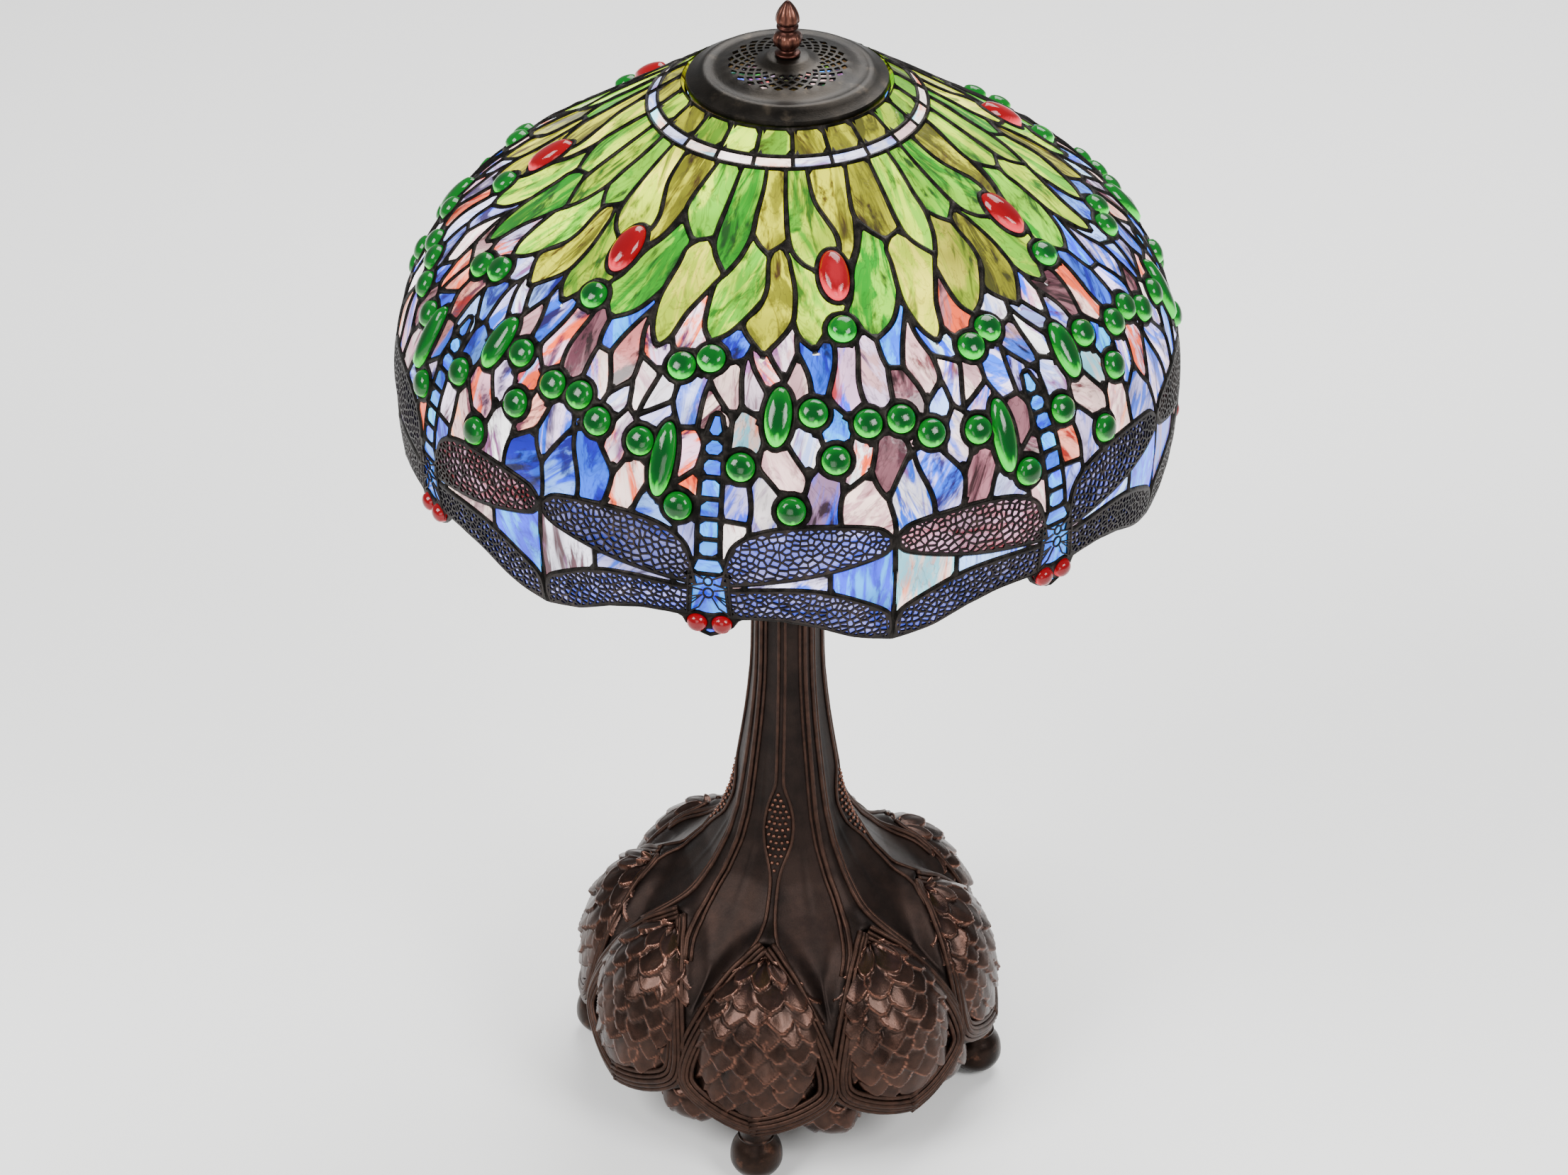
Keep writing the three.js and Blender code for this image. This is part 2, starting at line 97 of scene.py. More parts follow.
def on_shade(places, out=0.0):
    """Points in metres for rows of (plan x, plan y), raised off the glass by out millimetres."""
    places = np.asarray(places, float).reshape(-1, 2)
    radius, height, fall = shade_at(places[:, 1])
    angle = np.radians(places[:, 0] / PLAN + SHADE_TURN)
    reach = radius + out * np.sin(fall)
    points = (reach * np.sin(angle), -reach * np.cos(angle), height + out * np.cos(fall))
    return np.stack(points, axis=1) * MM


def true_width(down):
    """Millimetres to one plan unit across, at distances down the glass."""
    return shade_at(down)[0] * math.pi / 180 / PLAN


# ---------------------------------------------------------------- flat outlines


def through(points, step=3.0, closed=False):
    """A smooth line through given points, as points about a step apart."""
    points = [np.array(p, float) for p in points]
    count = len(points)
    line = []
    spans = count if closed else count - 1
    for i in range(spans):
        p1, p2 = points[i], points[(i + 1) % count]
        p0 = points[i - 1] if closed or i else 2 * p1 - p2
        p3 = points[(i + 2) % count] if closed or i + 2 < count else 2 * p2 - p1
        parts = max(1, round(float(np.linalg.norm(p2 - p1)) / step))
        for k in range(parts):
            t = k / parts
            line.append(0.5 * (2 * p1 + (p2 - p0) * t + (2 * p0 - 5 * p1 + 4 * p2 - p3) * t * t
                               + (3 * p1 - p0 - 3 * p2 + p3) * t ** 3))
    if not closed:
        line.append(points[-1])
    return line


def plan(points):
    """Places in degrees and millimetres as places on the plan."""
    return [(degrees * PLAN, down) for degrees, down in points]


def outline(*edges, step=3.0):
    """A closed outline from smooth edges laid head to tail, in (degrees, millimetres)."""
    first, last = edges[0][0], edges[-1][-1]
    if last != first:
        edges = (*edges, [last, first])
    loop = []
    for edge in edges:
        loop += through(plan(edge), step)[:-1]
    return [tuple(p) for p in loop]


def ellipse(centre, half_width, half_length, lean=0.0, steps=20):
    """An oval of true millimetres round a place on the shade; lean turns its top towards +degrees."""
    stretch = 1 / true_width(centre[1])
    cos, sin = math.cos(math.radians(lean)), math.sin(math.radians(lean))
    loop = []
    for i in range(steps):
        angle = 2 * math.pi * i / steps
        x, y = half_width * math.cos(angle), half_length * math.sin(angle)
        loop.append((centre[0] * PLAN + (x * cos - y * sin) * stretch, centre[1] + x * sin + y * cos))
    return loop


def area(loop):
    """The area in a loop, less than nothing where it runs clockwise."""
    a = np.asarray(loop)
    b = np.roll(a, -1, axis=0)
    return 0.5 * float(np.sum(a[:, 0] * b[:, 1] - a[:, 1] * b[:, 0]))


def clipped(polygon, point, normal):
    """The part of a convex polygon on the side of a line that its normal points away from."""
    kept = []
    for i, a in enumerate(polygon):
        b = polygon[(i + 1) % len(polygon)]
        da = (a[0] - point[0]) * normal[0] + (a[1] - point[1]) * normal[1]
        db = (b[0] - point[0]) * normal[0] + (b[1] - point[1]) * normal[1]
        if da <= 0:
            kept.append(a)
        if (da < 0 < db) or (db < 0 < da):
            t = da / (da - db)
            kept.append((a[0] + (b[0] - a[0]) * t, a[1] + (b[1] - a[1]) * t))
    return kept


def cells_round(seeds, reach, squeeze=(1.0, 1.0)):
    """The cell of each seed among its neighbours, with distances squeezed along each axis."""
    scale = np.array(squeeze)
    scaled = np.asarray(seeds, float) * scale
    cells = []
    for i, seed in enumerate(scaled):
        away = np.linalg.norm(scaled - seed, axis=1)
        cell = [tuple(seed + np.array(c) * reach) for c in ((-1, -1), (1, -1), (1, 1), (-1, 1))]
        for j in np.argsort(away)[1:26]:
            if away[j] > 2 * reach or not cell:
                break
            cell = clipped(cell, (seed + scaled[j]) / 2, scaled[j] - seed)
        cells.append([tuple(np.array(p) / scale) for p in cell])
    return cells


def arranged(loops, loose=(), edges=()):
    """Lays closed outlines over each other: points, triangles, and the outlines each triangle is in."""
    points, faces = [Vector((float(x), float(y))) for x, y in loose], []
    for loop in loops:
        loop = loop if area(loop) > 0 else loop[::-1]
        faces.append(list(range(len(points), len(points) + len(loop))))
        points += [Vector((float(x), float(y))) for x, y in loop]
    made = geometry.delaunay_2d_cdt(points, list(edges), faces, 1, 1e-3, True)
    return np.array([tuple(p) for p in made[0]]), made[2], made[5]


def loops_of(triangles):
    """The outlines of a set of triangles, outer ones counter-clockwise."""
    edges = {(t[i], t[(i + 1) % 3]) for t in triangles for i in range(3)}
    border = {}
    for a, b in edges:
        if (b, a) not in edges:
            border.setdefault(a, []).append(b)
    loops = []
    while border:
        start = next(iter(border))
        loop = [start]
        while True:
            here = loop[-1]
            ahead = border[here].pop()
            if not border[here]:
                del border[here]
            if ahead == start or ahead not in border:
                break
            loop.append(ahead)
        if len(loop) > 2:
            loops.append(loop)
    return loops


def inside_by(points, loop):
    """How far points are inside a closed loop, in true millimetres; less than nothing outside it."""
    loop = np.asarray(loop, float)
    scale = (float(true_width(loop[:, 1].mean())), 1.0)
    flat, points = loop * scale, np.asarray(points, float) * scale
    run = np.roll(flat, -1, axis=0) - flat
    length = np.maximum((run ** 2).sum(axis=1), 1e-9)
    start = points[:, None, :] - flat[None]
    t = np.clip((start * run[None]).sum(2) / length[None], 0, 1)
    distance = np.linalg.norm(start - t[..., None] * run[None], axis=2).min(axis=1)
    a, b = flat[None], np.roll(flat, -1, axis=0)[None]
    level = (a[..., 1] > points[:, None, 1]) != (b[..., 1] > points[:, None, 1])
    rise = np.where(np.abs(b[..., 1] - a[..., 1]) > 1e-9, b[..., 1] - a[..., 1], 1e-9)
    crossing = a[..., 0] + (points[:, None, 1] - a[..., 1]) * (b[..., 0] - a[..., 0]) / rise
    crossed = (level & (points[:, None, 0] < crossing)).sum(axis=1) % 2 == 1
    return np.where(crossed, distance, -distance)


def drawn_in(loop, width):
    """Points along a loop drawn in by a width of true millimetres, with the edges between neighbours."""
    loop = np.asarray(loop, float)
    m = float(true_width(loop[:, 1].mean()))
    flat = loop * (m, 1.0)
    ahead = np.roll(flat, -1, axis=0)
    run = ahead - flat
    length = np.linalg.norm(run, axis=1)
    keep = length > 1e-6
    flat, run, length = flat[keep], run[keep], length[keep]
    normal = np.stack((-run[:, 1], run[:, 0]), axis=1) / length[:, None] * np.sign(area(loop))
    tries = []
    for i in range(len(flat)):
        parts = max(1, int(length[i] / 2.5))
        before = normal[i - 1]
        if np.dot(before, run[i]) > 0.05 * length[i]:
            corner = before + normal[i]
            tries.append(flat[i] + corner / np.linalg.norm(corner) * width)
        tries += [flat[i] + run[i] * ((k + 0.5) / parts) + normal[i] * width for k in range(parts)]
    tries = np.array(tries) / (m, 1.0)
    kept = inside_by(tries, loop) > width * 0.97
    number = np.cumsum(kept) - 1
    edges = [(int(number[i]), int(number[(i + 1) % len(tries)])) for i in range(len(tries))
             if kept[i] and kept[(i + 1) % len(tries)]]
    return [tuple(p) for p in tries[kept]], edges


# ---------------------------------------------------------------- meshes


def mesh_object(name, points, faces, smooth=True):
    mesh = bpy.data.meshes.new(name)
    mesh.from_pydata([tuple(p) for p in points], [], [tuple(f) for f in faces])
    mesh.validate()
    mesh.shade_smooth() if smooth else mesh.shade_flat()
    made = bpy.data.objects.new(name, mesh)
    bpy.context.scene.collection.objects.link(made)
    return made


def set_values(mesh, name, kind, values):
    """Stores one value or colour to a point."""
    layer = mesh.attributes.new(name, kind, "POINT")
    key = "color" if kind == "FLOAT_COLOR" else "value"
    layer.data.foreach_set(key, np.asarray(values, np.float32).ravel())


def set_uv(mesh, places):
    """Lays a flat place on every point."""
    layer = mesh.uv_layers.new(name="flow")
    corners = np.empty(len(mesh.loops), np.int32)
    mesh.loops.foreach_get("vertex_index", corners)
    layer.data.foreach_set("uv", np.asarray(places, np.float32)[corners].ravel())


def turn_about(degrees):
    """The matrix of a turn about the lamp's axis."""
    cos, sin = math.cos(math.radians(degrees)), math.sin(math.radians(degrees))
    return np.array(((cos, -sin, 0), (sin, cos, 0), (0, 0, 1)))


def turned_copies(points, faces, count, step_degrees):
    """The same points and faces repeated about the lamp's axis."""
    points = np.asarray(points, float)
    every, all_faces = [], []
    for i in range(count):
        all_faces += [tuple(v + len(points) * i for v in face) for face in faces]
        every.append(points @ turn_about(step_degrees * i).T)
    return np.concatenate(every), all_faces


def ring_faces(rings, sides, first=0, closed=False):
    """Faces between rings of points that follow each other, from point number first on."""
    faces = []
    for ring in range(rings if closed else rings - 1):
        near, far = first + ring * sides, first + (ring + 1) % rings * sides
        faces += [(near + k, near + (k + 1) % sides, far + (k + 1) % sides, far + k) for k in range(sides)]
    return faces


def end_faces(rings, sides):
    """The two faces that close a bar at its first and last ring."""
    return [tuple(range(sides))[::-1], tuple((rings - 1) * sides + k for k in range(sides))]


def kept_only(flat, triangles):
    """The points that the triangles use, and the triangles with those points' new numbers."""
    used = sorted({v for t in triangles for v in t})
    index = {v: i for i, v in enumerate(used)}
    return flat[used], [tuple(index[v] for v in t) for t in triangles]


def walls(triangles, count):
    """Faces from the outlines of a flat pattern to the same outlines count points further on."""
    faces = []
    for loop in loops_of(triangles):
        faces += [(a, b, b + count, a + count) for a, b in zip(loop, loop[1:] + loop[:1])]
    return faces


def smoothed(made, degrees):
    """Shades a piece smooth, but for edges sharper than an angle."""
    bpy.ops.object.select_all(action="DESELECT")
    made.select_set(True)
    bpy.context.view_layer.objects.active = made
    bpy.ops.object.shade_smooth_by_angle(angle=math.radians(degrees))


def outward(made):
    """Turns every face of a closed mesh outwards."""
    shape = bmesh.new()
    shape.from_mesh(made.data)
    bmesh.ops.recalc_face_normals(shape, faces=shape.faces)
    shape.to_mesh(made.data)
    shape.free()


def cast_piece(name, points, faces, worn):
    """A closed cast piece that knows how worn it is at each point."""
    made = mesh_object(name, points, faces)
    set_values(made.data, "edge", "FLOAT", np.broadcast_to(worn, len(points)))
    outward(made)
    return made


# ---------------------------------------------------------------- the leaded pattern of one repeat

# Each leaf is a list of smooth edges, laid head to tail and closed by a straight one. The first are on top.
LEAVES = [
    # first row, whole
    [[(-7, 26), (-8, 50), (-8.8, 75), (-8, 88), (-3.8, 103.5)],
     [(-3.8, 103.5), (-0.8, 90), (1.1, 75), (1.5, 60), (2.6, 42), (2.7, 26)]],
    [[(10.3, 26), (10.3, 50), (11.3, 80), (14, 92), (17.2, 98)],
     [(17.2, 98), (20, 95), (24, 86), (24.2, 75), (22.4, 65), (19.4, 50), (18.2, 26)]],
    # first row, partly under its neighbours
    [[(-17, 26), (-19.9, 50), (-20.6, 64), (-18.7, 73), (-14.5, 84.5)],
     [(-14.5, 84.5), (-9, 79), (-6.5, 70), (-5, 26)]],
    [[(0.5, 26), (0.3, 65), (2.3, 78), (5.7, 87)], [(5.7, 87), (10.2, 79.5), (12, 76), (12, 26)]],
    [[(16.5, 26), (19, 55), (22.6, 75), (24.1, 88), (26, 97)],
     [(26, 97), (28.8, 85), (30.3, 72), (31.4, 60), (33, 46), (36, 26)]],
    # second row, whole
    [[(-11, 79), (-15, 89), (-15.4, 100), (-16.4, 125), (-15.2, 145), (-13, 157)],
     [(-13, 157), (-11, 149), (-9.4, 131), (-6, 112), (-4.2, 102), (-6, 92)]],
    [[(9, 78), (6.3, 90), (6.4, 108), (5, 122), (2.2, 135), (6.5, 154.5)],
     [(6.5, 154.5), (11.4, 135), (12.4, 122), (12.4, 108), (11.3, 90)]],
    # second row, partly under its neighbours
    [[(-19.7, 72), (-22.6, 88), (-25.2, 100), (-27, 118), (-28.6, 127), (-27, 137), (-24.2, 147.5)],
     [(-24.2, 147.5), (-20, 138), (-17.1, 124), (-15.6, 112), (-14.6, 100), (-14.8, 84)]],
    [[(1.5, 76), (-1, 88), (-4, 100), (-5.4, 108), (-5.7, 126), (-5.2, 139), (-3.5, 147.5)],
     [(-3.5, 147.5), (0, 140), (4.8, 121), (7.6, 108), (7.6, 95), (5, 84)]],
    [[(10.5, 80), (11, 100), (11.6, 122), (12.8, 140), (15.8, 151)], [(15.8, 151), (18.6, 137), (19.6, 128)],
     [(19.6, 128), (24, 127)], [(24, 127), (24, 98), (17, 92)]],
]
# How each leaf is tinted: lime, pale, green or olive.
LEAF_TINTS = ("lime", "pale", "lime", "green", "olive", "pale", "olive", "green", "pale", "lime")

# Stones: degrees and millimetres, and for the ovals half their width, half their length and their lean.
RED_JEWEL = (21.7, 102.5)
ROUND_JEWELS = [
    (21.4, 138), (-7.4, 165.5), (-2.6, 158.5), (14.9, 189.5), (23.2, 198), (-23, 198),
    (-18.7, 209.5), (-11.3, 214.5), (4.1, 222), (17.9, 218), (-4.5, 249), (11.4, 247.5),
]
OVAL_JEWELS = [((9.4, 191.5), 8.0, 18.0, 5.0), ((-7.4, 222.5), 7.2, 22.5, 3.0)]
EYE = (1.75, 328)
# Half the width and half the length of a stone, and how high it stands.
ROUND_HALF, OVAL_TALL, RUBY_SIZE, EYE_SIZE = 8.6, 6.0, (9.0, 17.0, 7.0), (6.3, 6.3, 6.2)
BAND_END = 29  # millimetres down the glass to the end of the pale band

# One piece of field glass grows round each of these places.
FIELD_SEEDS = [
    (-21.2, 148), (-17.8, 171), (-25.4, 171), (-13.2, 178), (-8.3, 146), (-9.6, 184), (-4, 184), (1.2, 149),
    (1.6, 171), (5.4, 178), (9.8, 151), (15.6, 163), (20.6, 176), (4.6, 203), (-1.2, 196), (-16.2, 199),
    (-21.6, 186), (13.4, 206), (25.7, 220), (-23, 248), (-18.3, 240), (-12.4, 240), (-14.8, 214),
    (20.9, 216), (15.6, 240), (22.2, 246), (10.6, 222), (18.8, 201), (7.3, 250), (3.1, 244), (-3.8, 219),
    (-2.6, 240), (-7.6, 258), (-2.4, 270), (2.9, 268), (-8.9, 203), (-0.4, 217), (7.6, 165), (-12.6, 160),
    (12.2, 176),
]
# Pieces between the wings: degrees and millimetres of two corners. They are numbered from BORDER_FIRST.
BORDER_PIECES = [((16.7, 270), (25.714, 345)), ((-25.714, 270), (-16.7, 345)), ((5, 282), (16.7, 345)),
                 ((-16.7, 282), (-5, 345)), ((-5, 282), (5, 345))]
BORDER_FIRST = 100
UPPER_WING = [
    [(1.6, 299.5), (2.4, 284), (3.6, 271), (7, 262), (12.3, 258.3), (18.7, 259), (23.6, 262.5), (25.3, 269)],
    [(25.3, 269), (24.6, 278), (20, 285), (13.7, 291.5), (6.6, 296.5), (1.6, 299.5)],
]
LOWER_WING = [
    [(2.2, 303), (7, 301.3), (12, 301), (16.5, 304), (21, 312), (24.7, 322), (25.5, 333), (25.1, 343)],
    [(25.1, 343), (20, 338), (15, 328.5), (10, 323), (2.6, 322.6)],
]
# The squares of the tail, each from one distance down the glass to another.
TAIL = [(191.5, 206), (206, 217.5), (217.5, 229.5), (229.5, 242.5), (242.5, 255), (255, 268), (268, 280.5)]
# Half of one repeat of the scalloped rim, from the dragonfly's head to the tip of its wing.
RIM = [(0, 338.5), (1.7, 335), (3.4, 329), (3.9, 323.4), (6, 322.6), (10, 323.1), (15, 328.6), (20, 338),
       (25.714, 343.6)]


def mirrored(edges):
    """The edges of a wing laid on the dragonfly's other side."""
    return [[(-degrees, down) for degrees, down in edge] for edge in edges]


def rim_at(degrees):
    """How far down the glass reaches, in millimetres."""
    off = abs((degrees + PERIOD / 2) % PERIOD - PERIOD / 2)
    return float(np.interp(off, [p[0] for p in RIM], [p[1] for p in RIM]))


def body_outlines():
    """The outlines of the dragonfly's own glass: tail squares, shoulders, thorax and head."""
    corners = []
    for i, (start, end) in enumerate(TAIL):
        half_top = 0.7 if i == 0 else 1.6
        corners.append([(-half_top, start), (half_top, start), (1.65, end), (-1.65, end)])
    corners.append([(-1.65, 280.5), (1.65, 280.5), (2.7, 292), (-2.7, 292)])
    corners.append([(-2.5, 292), (2.5, 292), (2.8, 300), (2.9, 310), (3.1, 322.5), (-3.1, 322.5),
                    (-2.9, 310), (-2.8, 300)])
    corners.append([(-3.2, 322.5), (3.2, 322.5), (2.4, 333), (0, 340), (-2.4, 333)])
    return [plan(places) for places in corners]


def pattern():
    """All the outlines of one repeat, top ones first, as (kind, outline, which)."""
    shapes = [("jewel", ellipse(place, 10.7, 10.7), i) for i, place in enumerate(ROUND_JEWELS)]
    shapes += [("jewel", ellipse(place, w + 2.0, h + 2.0, lean, 28), 20 + i)
               for i, (place, w, h, lean) in enumerate(OVAL_JEWELS)]
    shapes.append(("jewel", ellipse(RED_JEWEL, 10.3, 18.3, 0, 28), 30))
    shapes += [("eye", ellipse((side * EYE[0], EYE[1]), 6.9, 6.9), i) for i, side in enumerate((-1, 1))]
    shapes += [("body", loop, i) for i, loop in enumerate(body_outlines())]
    for i, wing in enumerate((UPPER_WING, LOWER_WING)):
        shapes.append(("wing", outline(*wing), 2 * i))
        shapes.append(("wing", outline(*mirrored(wing)), 2 * i + 1))
    shapes += [("leaf", outline(*edges), i) for i, edges in enumerate(LEAVES)]
    shapes += [("field", plan([(a[0], a[1]), (b[0], a[1]), (b[0], b[1]), (a[0], b[1])]), BORDER_FIRST + i)
               for i, (a, b) in enumerate(BORDER_PIECES)]
    return shapes


def field_cells():
    """Outlines of the field's pieces over one repeat, gently bent."""
    seeds = [((u + PERIOD * k) * PLAN, s) for k in (-1, 0, 1) for u, s in FIELD_SEEDS]
    cells = cells_round(seeds, 60, (1.0, 0.5))[len(FIELD_SEEDS):2 * len(FIELD_SEEDS)]
    bent = []
    for cell in cells:
        loop = []
        for i, a in enumerate(cell):
            a, b = np.array(a), np.array(cell[(i + 1) % len(cell)])
            parts = max(1, int(np.linalg.norm(b - a) / 4))
            for k in range(parts):
                x, y = a + (b - a) * k / parts
                x += 2.6 * math.sin(2 * math.pi * (2 * x / (PERIOD * PLAN) + y / 62))
                loop.append((x, y))
        bent.append(loop)
    return bent


# Half the width of the lead round each kind of piece, in millimetres.
HALF_LEAD = {"leaf": 1.75, "field": 1.85, "jewel": 2.5, "eye": 1.5,
             "body": 1.8, "wing": 1.3, "crown": 1.5, "pale": 1.4}


def pieces_of(shapes, centre_range, outside):
    """Splits overlaid shapes into pieces of glass: (kind, which, middle, outlines) of each."""
    points, triangles, inside = arranged([loop for _, loop, _ in shapes])
    label = []
    for triangle, faces in zip(triangles, inside):
        x, y = points[list(triangle)].mean(axis=0)
        label.append(-1 if outside(x, y) or not faces else min(faces))
    over = {}
    for i, t in enumerate(triangles):
        for k in range(3):
            over[(t[k], t[(k + 1) % 3])] = i
    seen, pieces = set(), []
    for first in range(len(triangles)):
        if first in seen or label[first] < 0:
            continue
        group, stack = [], [first]
        seen.add(first)
        while stack:
            i = stack.pop()
            group.append(triangles[i])
            t = triangles[i]
            for k in range(3):
                j = over.get((t[(k + 1) % 3], t[k]))
                if j is not None and j not in seen and label[j] == label[first]:
                    seen.add(j)
                    stack.append(j)
        sizes = [area([points[v] for v in t]) for t in group]
        middle = sum(size * points[list(t)].mean(axis=0) for size, t in zip(sizes, group)) / sum(sizes)
        if not centre_range[0] <= middle[0] < centre_range[1]:
            continue
        kind, _, which = shapes[label[first]]
        loops = [[tuple(points[v]) for v in loop] for loop in loops_of(group)]
        pieces.append((kind, which, tuple(middle), loops))
    return pieces


def shade_pieces():
    """The glass of one repeat below the pale band."""
    one = pattern()
    shapes = [("out", plan([(-90, 10), (90, 10), (90, BAND_END), (-90, BAND_END)]), 0)]
    edge = through(plan([(-u, s) for u, s in reversed(RIM[1:])]), 4)[:-1] + through(plan(RIM), 4)
    shifts = (-PERIOD * PLAN, 0, PERIOD * PLAN)
    for shift in shifts:
        for kind, loop, which in one:
            shapes.append((kind, [(x + shift, y) for x, y in loop], which))
    for shift in shifts:
        low = [(x + shift, y) for x, y in edge]
        shapes.append(("rim", low + [(low[-1][0], 380), (low[0][0], 380)], 0))
    # whole kinds stay on top of the later ones whichever repeat they are in
    rank = {"out": 0, "rim": 1, "jewel": 2, "eye": 3, "body": 4, "wing": 5, "leaf": 6, "field": 30}
    shapes.sort(key=lambda shape: rank[shape[0]] + (shape[2] if shape[0] == "leaf" else 0))
    cells = field_cells()
    for shift in shifts:
        shapes += [("field", [(x + shift, y) for x, y in loop], i) for i, loop in enumerate(cells)]

    def outside(x, y):
        return y < BAND_END or y > rim_at(x / PLAN) + 0.3

    half = PERIOD * PLAN / 2
    return [p for p in pieces_of(shapes, (-half, half), outside) if p[0] not in ("out", "rim")]


def crown_pieces(count=22):
    """The two rings of pieces above the leaves."""
    pieces = []
    for i in range(count):
        ends = [(i - 0.2) * 360 / count * PLAN, (i + 0.8) * 360 / count * PLAN]
        for kind, top, bottom in (("crown", 2, 21), ("pale", 21, BAND_END)):
            across = np.linspace(ends[0], ends[1], 9)
            loop = [(x, top) for x in across] + [(ends[1], (top + bottom) / 2)]
            loop += [(x, bottom) for x in across[::-1]] + [(ends[0], (top + bottom) / 2)]
            pieces.append((kind, i, ((ends[0] + ends[1]) / 2, (top + bottom) / 2), [loop]))
    return pieces


class Slab:
    """Gathers closed slabs of glass or lead into one mesh."""

    def __init__(self):
        self.points, self.faces, self.count = [], [], 0

    def add(self, points, faces):
        self.points.append(points)
        self.faces += [tuple(v + self.count for v in face) for face in faces]
        self.count += len(points)

    def all_points(self):
        return np.concatenate(self.points)


def split_piece(loops, half):
    """Flat points of a piece, the triangles under its lead, and those of its glass."""
    outer = max(loops, key=lambda loop: abs(area(loop)))
    holes = [loop for loop in loops if loop is not outer and abs(area(loop)) > 4]
    drawn, edges = drawn_in(outer, half)
    size = abs(area(outer)) * float(true_width(outer[0][1]))
    step = 2.4 if size < 500 else 5.0
    low, high, m = np.min(outer, axis=0), np.max(outer, axis=0), float(true_width(outer[0][1]))
    across, along = np.arange(low[0], high[0], step / m), np.arange(low[1], high[1], step)
    grid = np.array([(x, y) for x in across for y in along])
    grid = grid[inside_by(grid, outer) > half + 1.0]
    flat, triangles, inside = arranged([outer, *holes], [*drawn, *map(tuple, grid)], edges)
    depth = inside_by(flat, outer)
    if size < 32:
        depth = depth * 0
    for hole in holes:
        depth = np.minimum(depth, -inside_by(flat, hole))
    lead, glass = [], []
    for triangle, faces in zip(triangles, inside):
        if list(faces) == [0]:
            (glass if min(depth[v] for v in triangle) > half * 0.9 else lead).append(tuple(triangle))
    return flat, lead, glass


def lead_of(piece, lead, half):
    """Adds the half of each lead line round a piece: a bead outside and inside, and a wall at the glass."""
    flat, chosen, glass = split_piece(piece[3], half)
    if not chosen:
        return
    by_glass = {v for t in glass for v in t}
    on_edge = np.ones(len(flat), bool)
    on_edge[list(by_glass)] = False
    turn = flat[:, 0] * (2 * math.pi / (PERIOD * PLAN))
    spots = [Vector((2 * math.cos(a), 2 * math.sin(a), y * 0.06)) for a, y in zip(turn, flat[:, 1])]
    rough = np.array([noise.noise(spot) for spot in spots])
    height = np.where(on_edge, 1.6 + 0.5 * rough, 0.15)
    count = len(flat)
    top, low = on_shade(flat, height), on_shade(flat, -GLASS - height)
    faces = [(c, b, a) for a, b, c in chosen] + [(a + count, b + count, c + count) for a, b, c in chosen]
    faces += [face for face in walls(chosen, count) if face[0] in by_glass and face[1] in by_glass]
    lead.add(np.concatenate((top, low)), faces)


# ---------------------------------------------------------------- glass colours

# Each sheet's two main tints and the tint of its streaks.
TINTS = {
    "lime": ((0.54, 0.74, 0.14), (0.84, 0.92, 0.38), (0.26, 0.46, 0.06)),
    "pale": ((0.78, 0.86, 0.36), (0.98, 0.97, 0.66), (0.48, 0.56, 0.12)),
    "green": ((0.34, 0.62, 0.12), (0.66, 0.84, 0.28), (0.18, 0.34, 0.05)),
    "olive": ((0.50, 0.50, 0.08), (0.80, 0.80, 0.22), (0.30, 0.20, 0.05)),
    "crown": ((0.54, 0.68, 0.12), (0.78, 0.86, 0.34), (0.34, 0.34, 0.06)),
    "milk": ((0.98, 0.92, 0.90), (0.74, 0.90, 0.94), (0.98, 0.72, 0.64)),
    "cream": ((1.00, 0.97, 0.96), (0.96, 0.88, 0.88), (0.84, 0.70, 0.74)),
    "dusk": ((0.97, 0.90, 0.88), (0.80, 0.70, 0.71), (0.46, 0.32, 0.33)),
    "cloud": ((0.98, 0.97, 1.00), (0.76, 0.80, 0.96), (0.62, 0.50, 0.62)),
    "storm": ((0.90, 0.86, 0.94), (0.46, 0.56, 0.86), (0.26, 0.18, 0.34)),
    "rose": ((0.97, 0.80, 0.76), (0.90, 0.58, 0.52), (0.62, 0.34, 0.32)),
    "mauve": ((0.70, 0.58, 0.60), (0.45, 0.34, 0.37), (0.22, 0.12, 0.14)),
    "slate": ((0.50, 0.58, 0.86), (0.26, 0.32, 0.62), (0.12, 0.10, 0.26)),
    "sky": ((0.18, 0.54, 0.96), (0.50, 0.78, 1.00), (0.08, 0.34, 0.78)),
    "corn": ((0.78, 0.86, 1.00), (0.36, 0.54, 0.92), (0.30, 0.26, 0.52)),
    "wing": ((0.58, 0.60, 0.84), (0.73, 0.73, 0.88), (0.44, 0.47, 0.76)),
    "rosewing": ((0.60, 0.45, 0.47), (0.72, 0.63, 0.68), (0.46, 0.28, 0.28)),
    "body": ((0.18, 0.61, 0.96), (0.38, 0.75, 0.99), (0.07, 0.43, 0.86)),
}
# What each kind is cut from, a tint named twice being twice as likely.
FIELD_MIX = ("cream", "dusk", "cloud", "milk", "storm", "rose", "dusk", "mauve", "slate", "corn", "cloud",
             "corn", "storm", "storm", "mauve")
LEAF_MIX = ("lime", "pale", "lime", "green", "olive")
CROWN_MIX = ("crown", "lime", "crown", "olive")
PALE_MIX = ("milk", "cream", "milk", "cloud")
SECOND_MIX = ("rose", "corn", "dusk", "mauve", "storm")
SKY_SEEDS = {26, 27, 0}  # the field pieces that are sky blue in most repeats
TINT_DEPTH, TINT_COLOUR = 3.3, 1.45  # how far tints are deepened, and how far drawn away from grey
LIGHTNESS = {"leaf": 0.84, "crown": 0.84}  # of each kind of sheet, against FIELD_LIGHTNESS
FIELD_LIGHTNESS = 0.96


# ---------------------------------------------------------------- materials


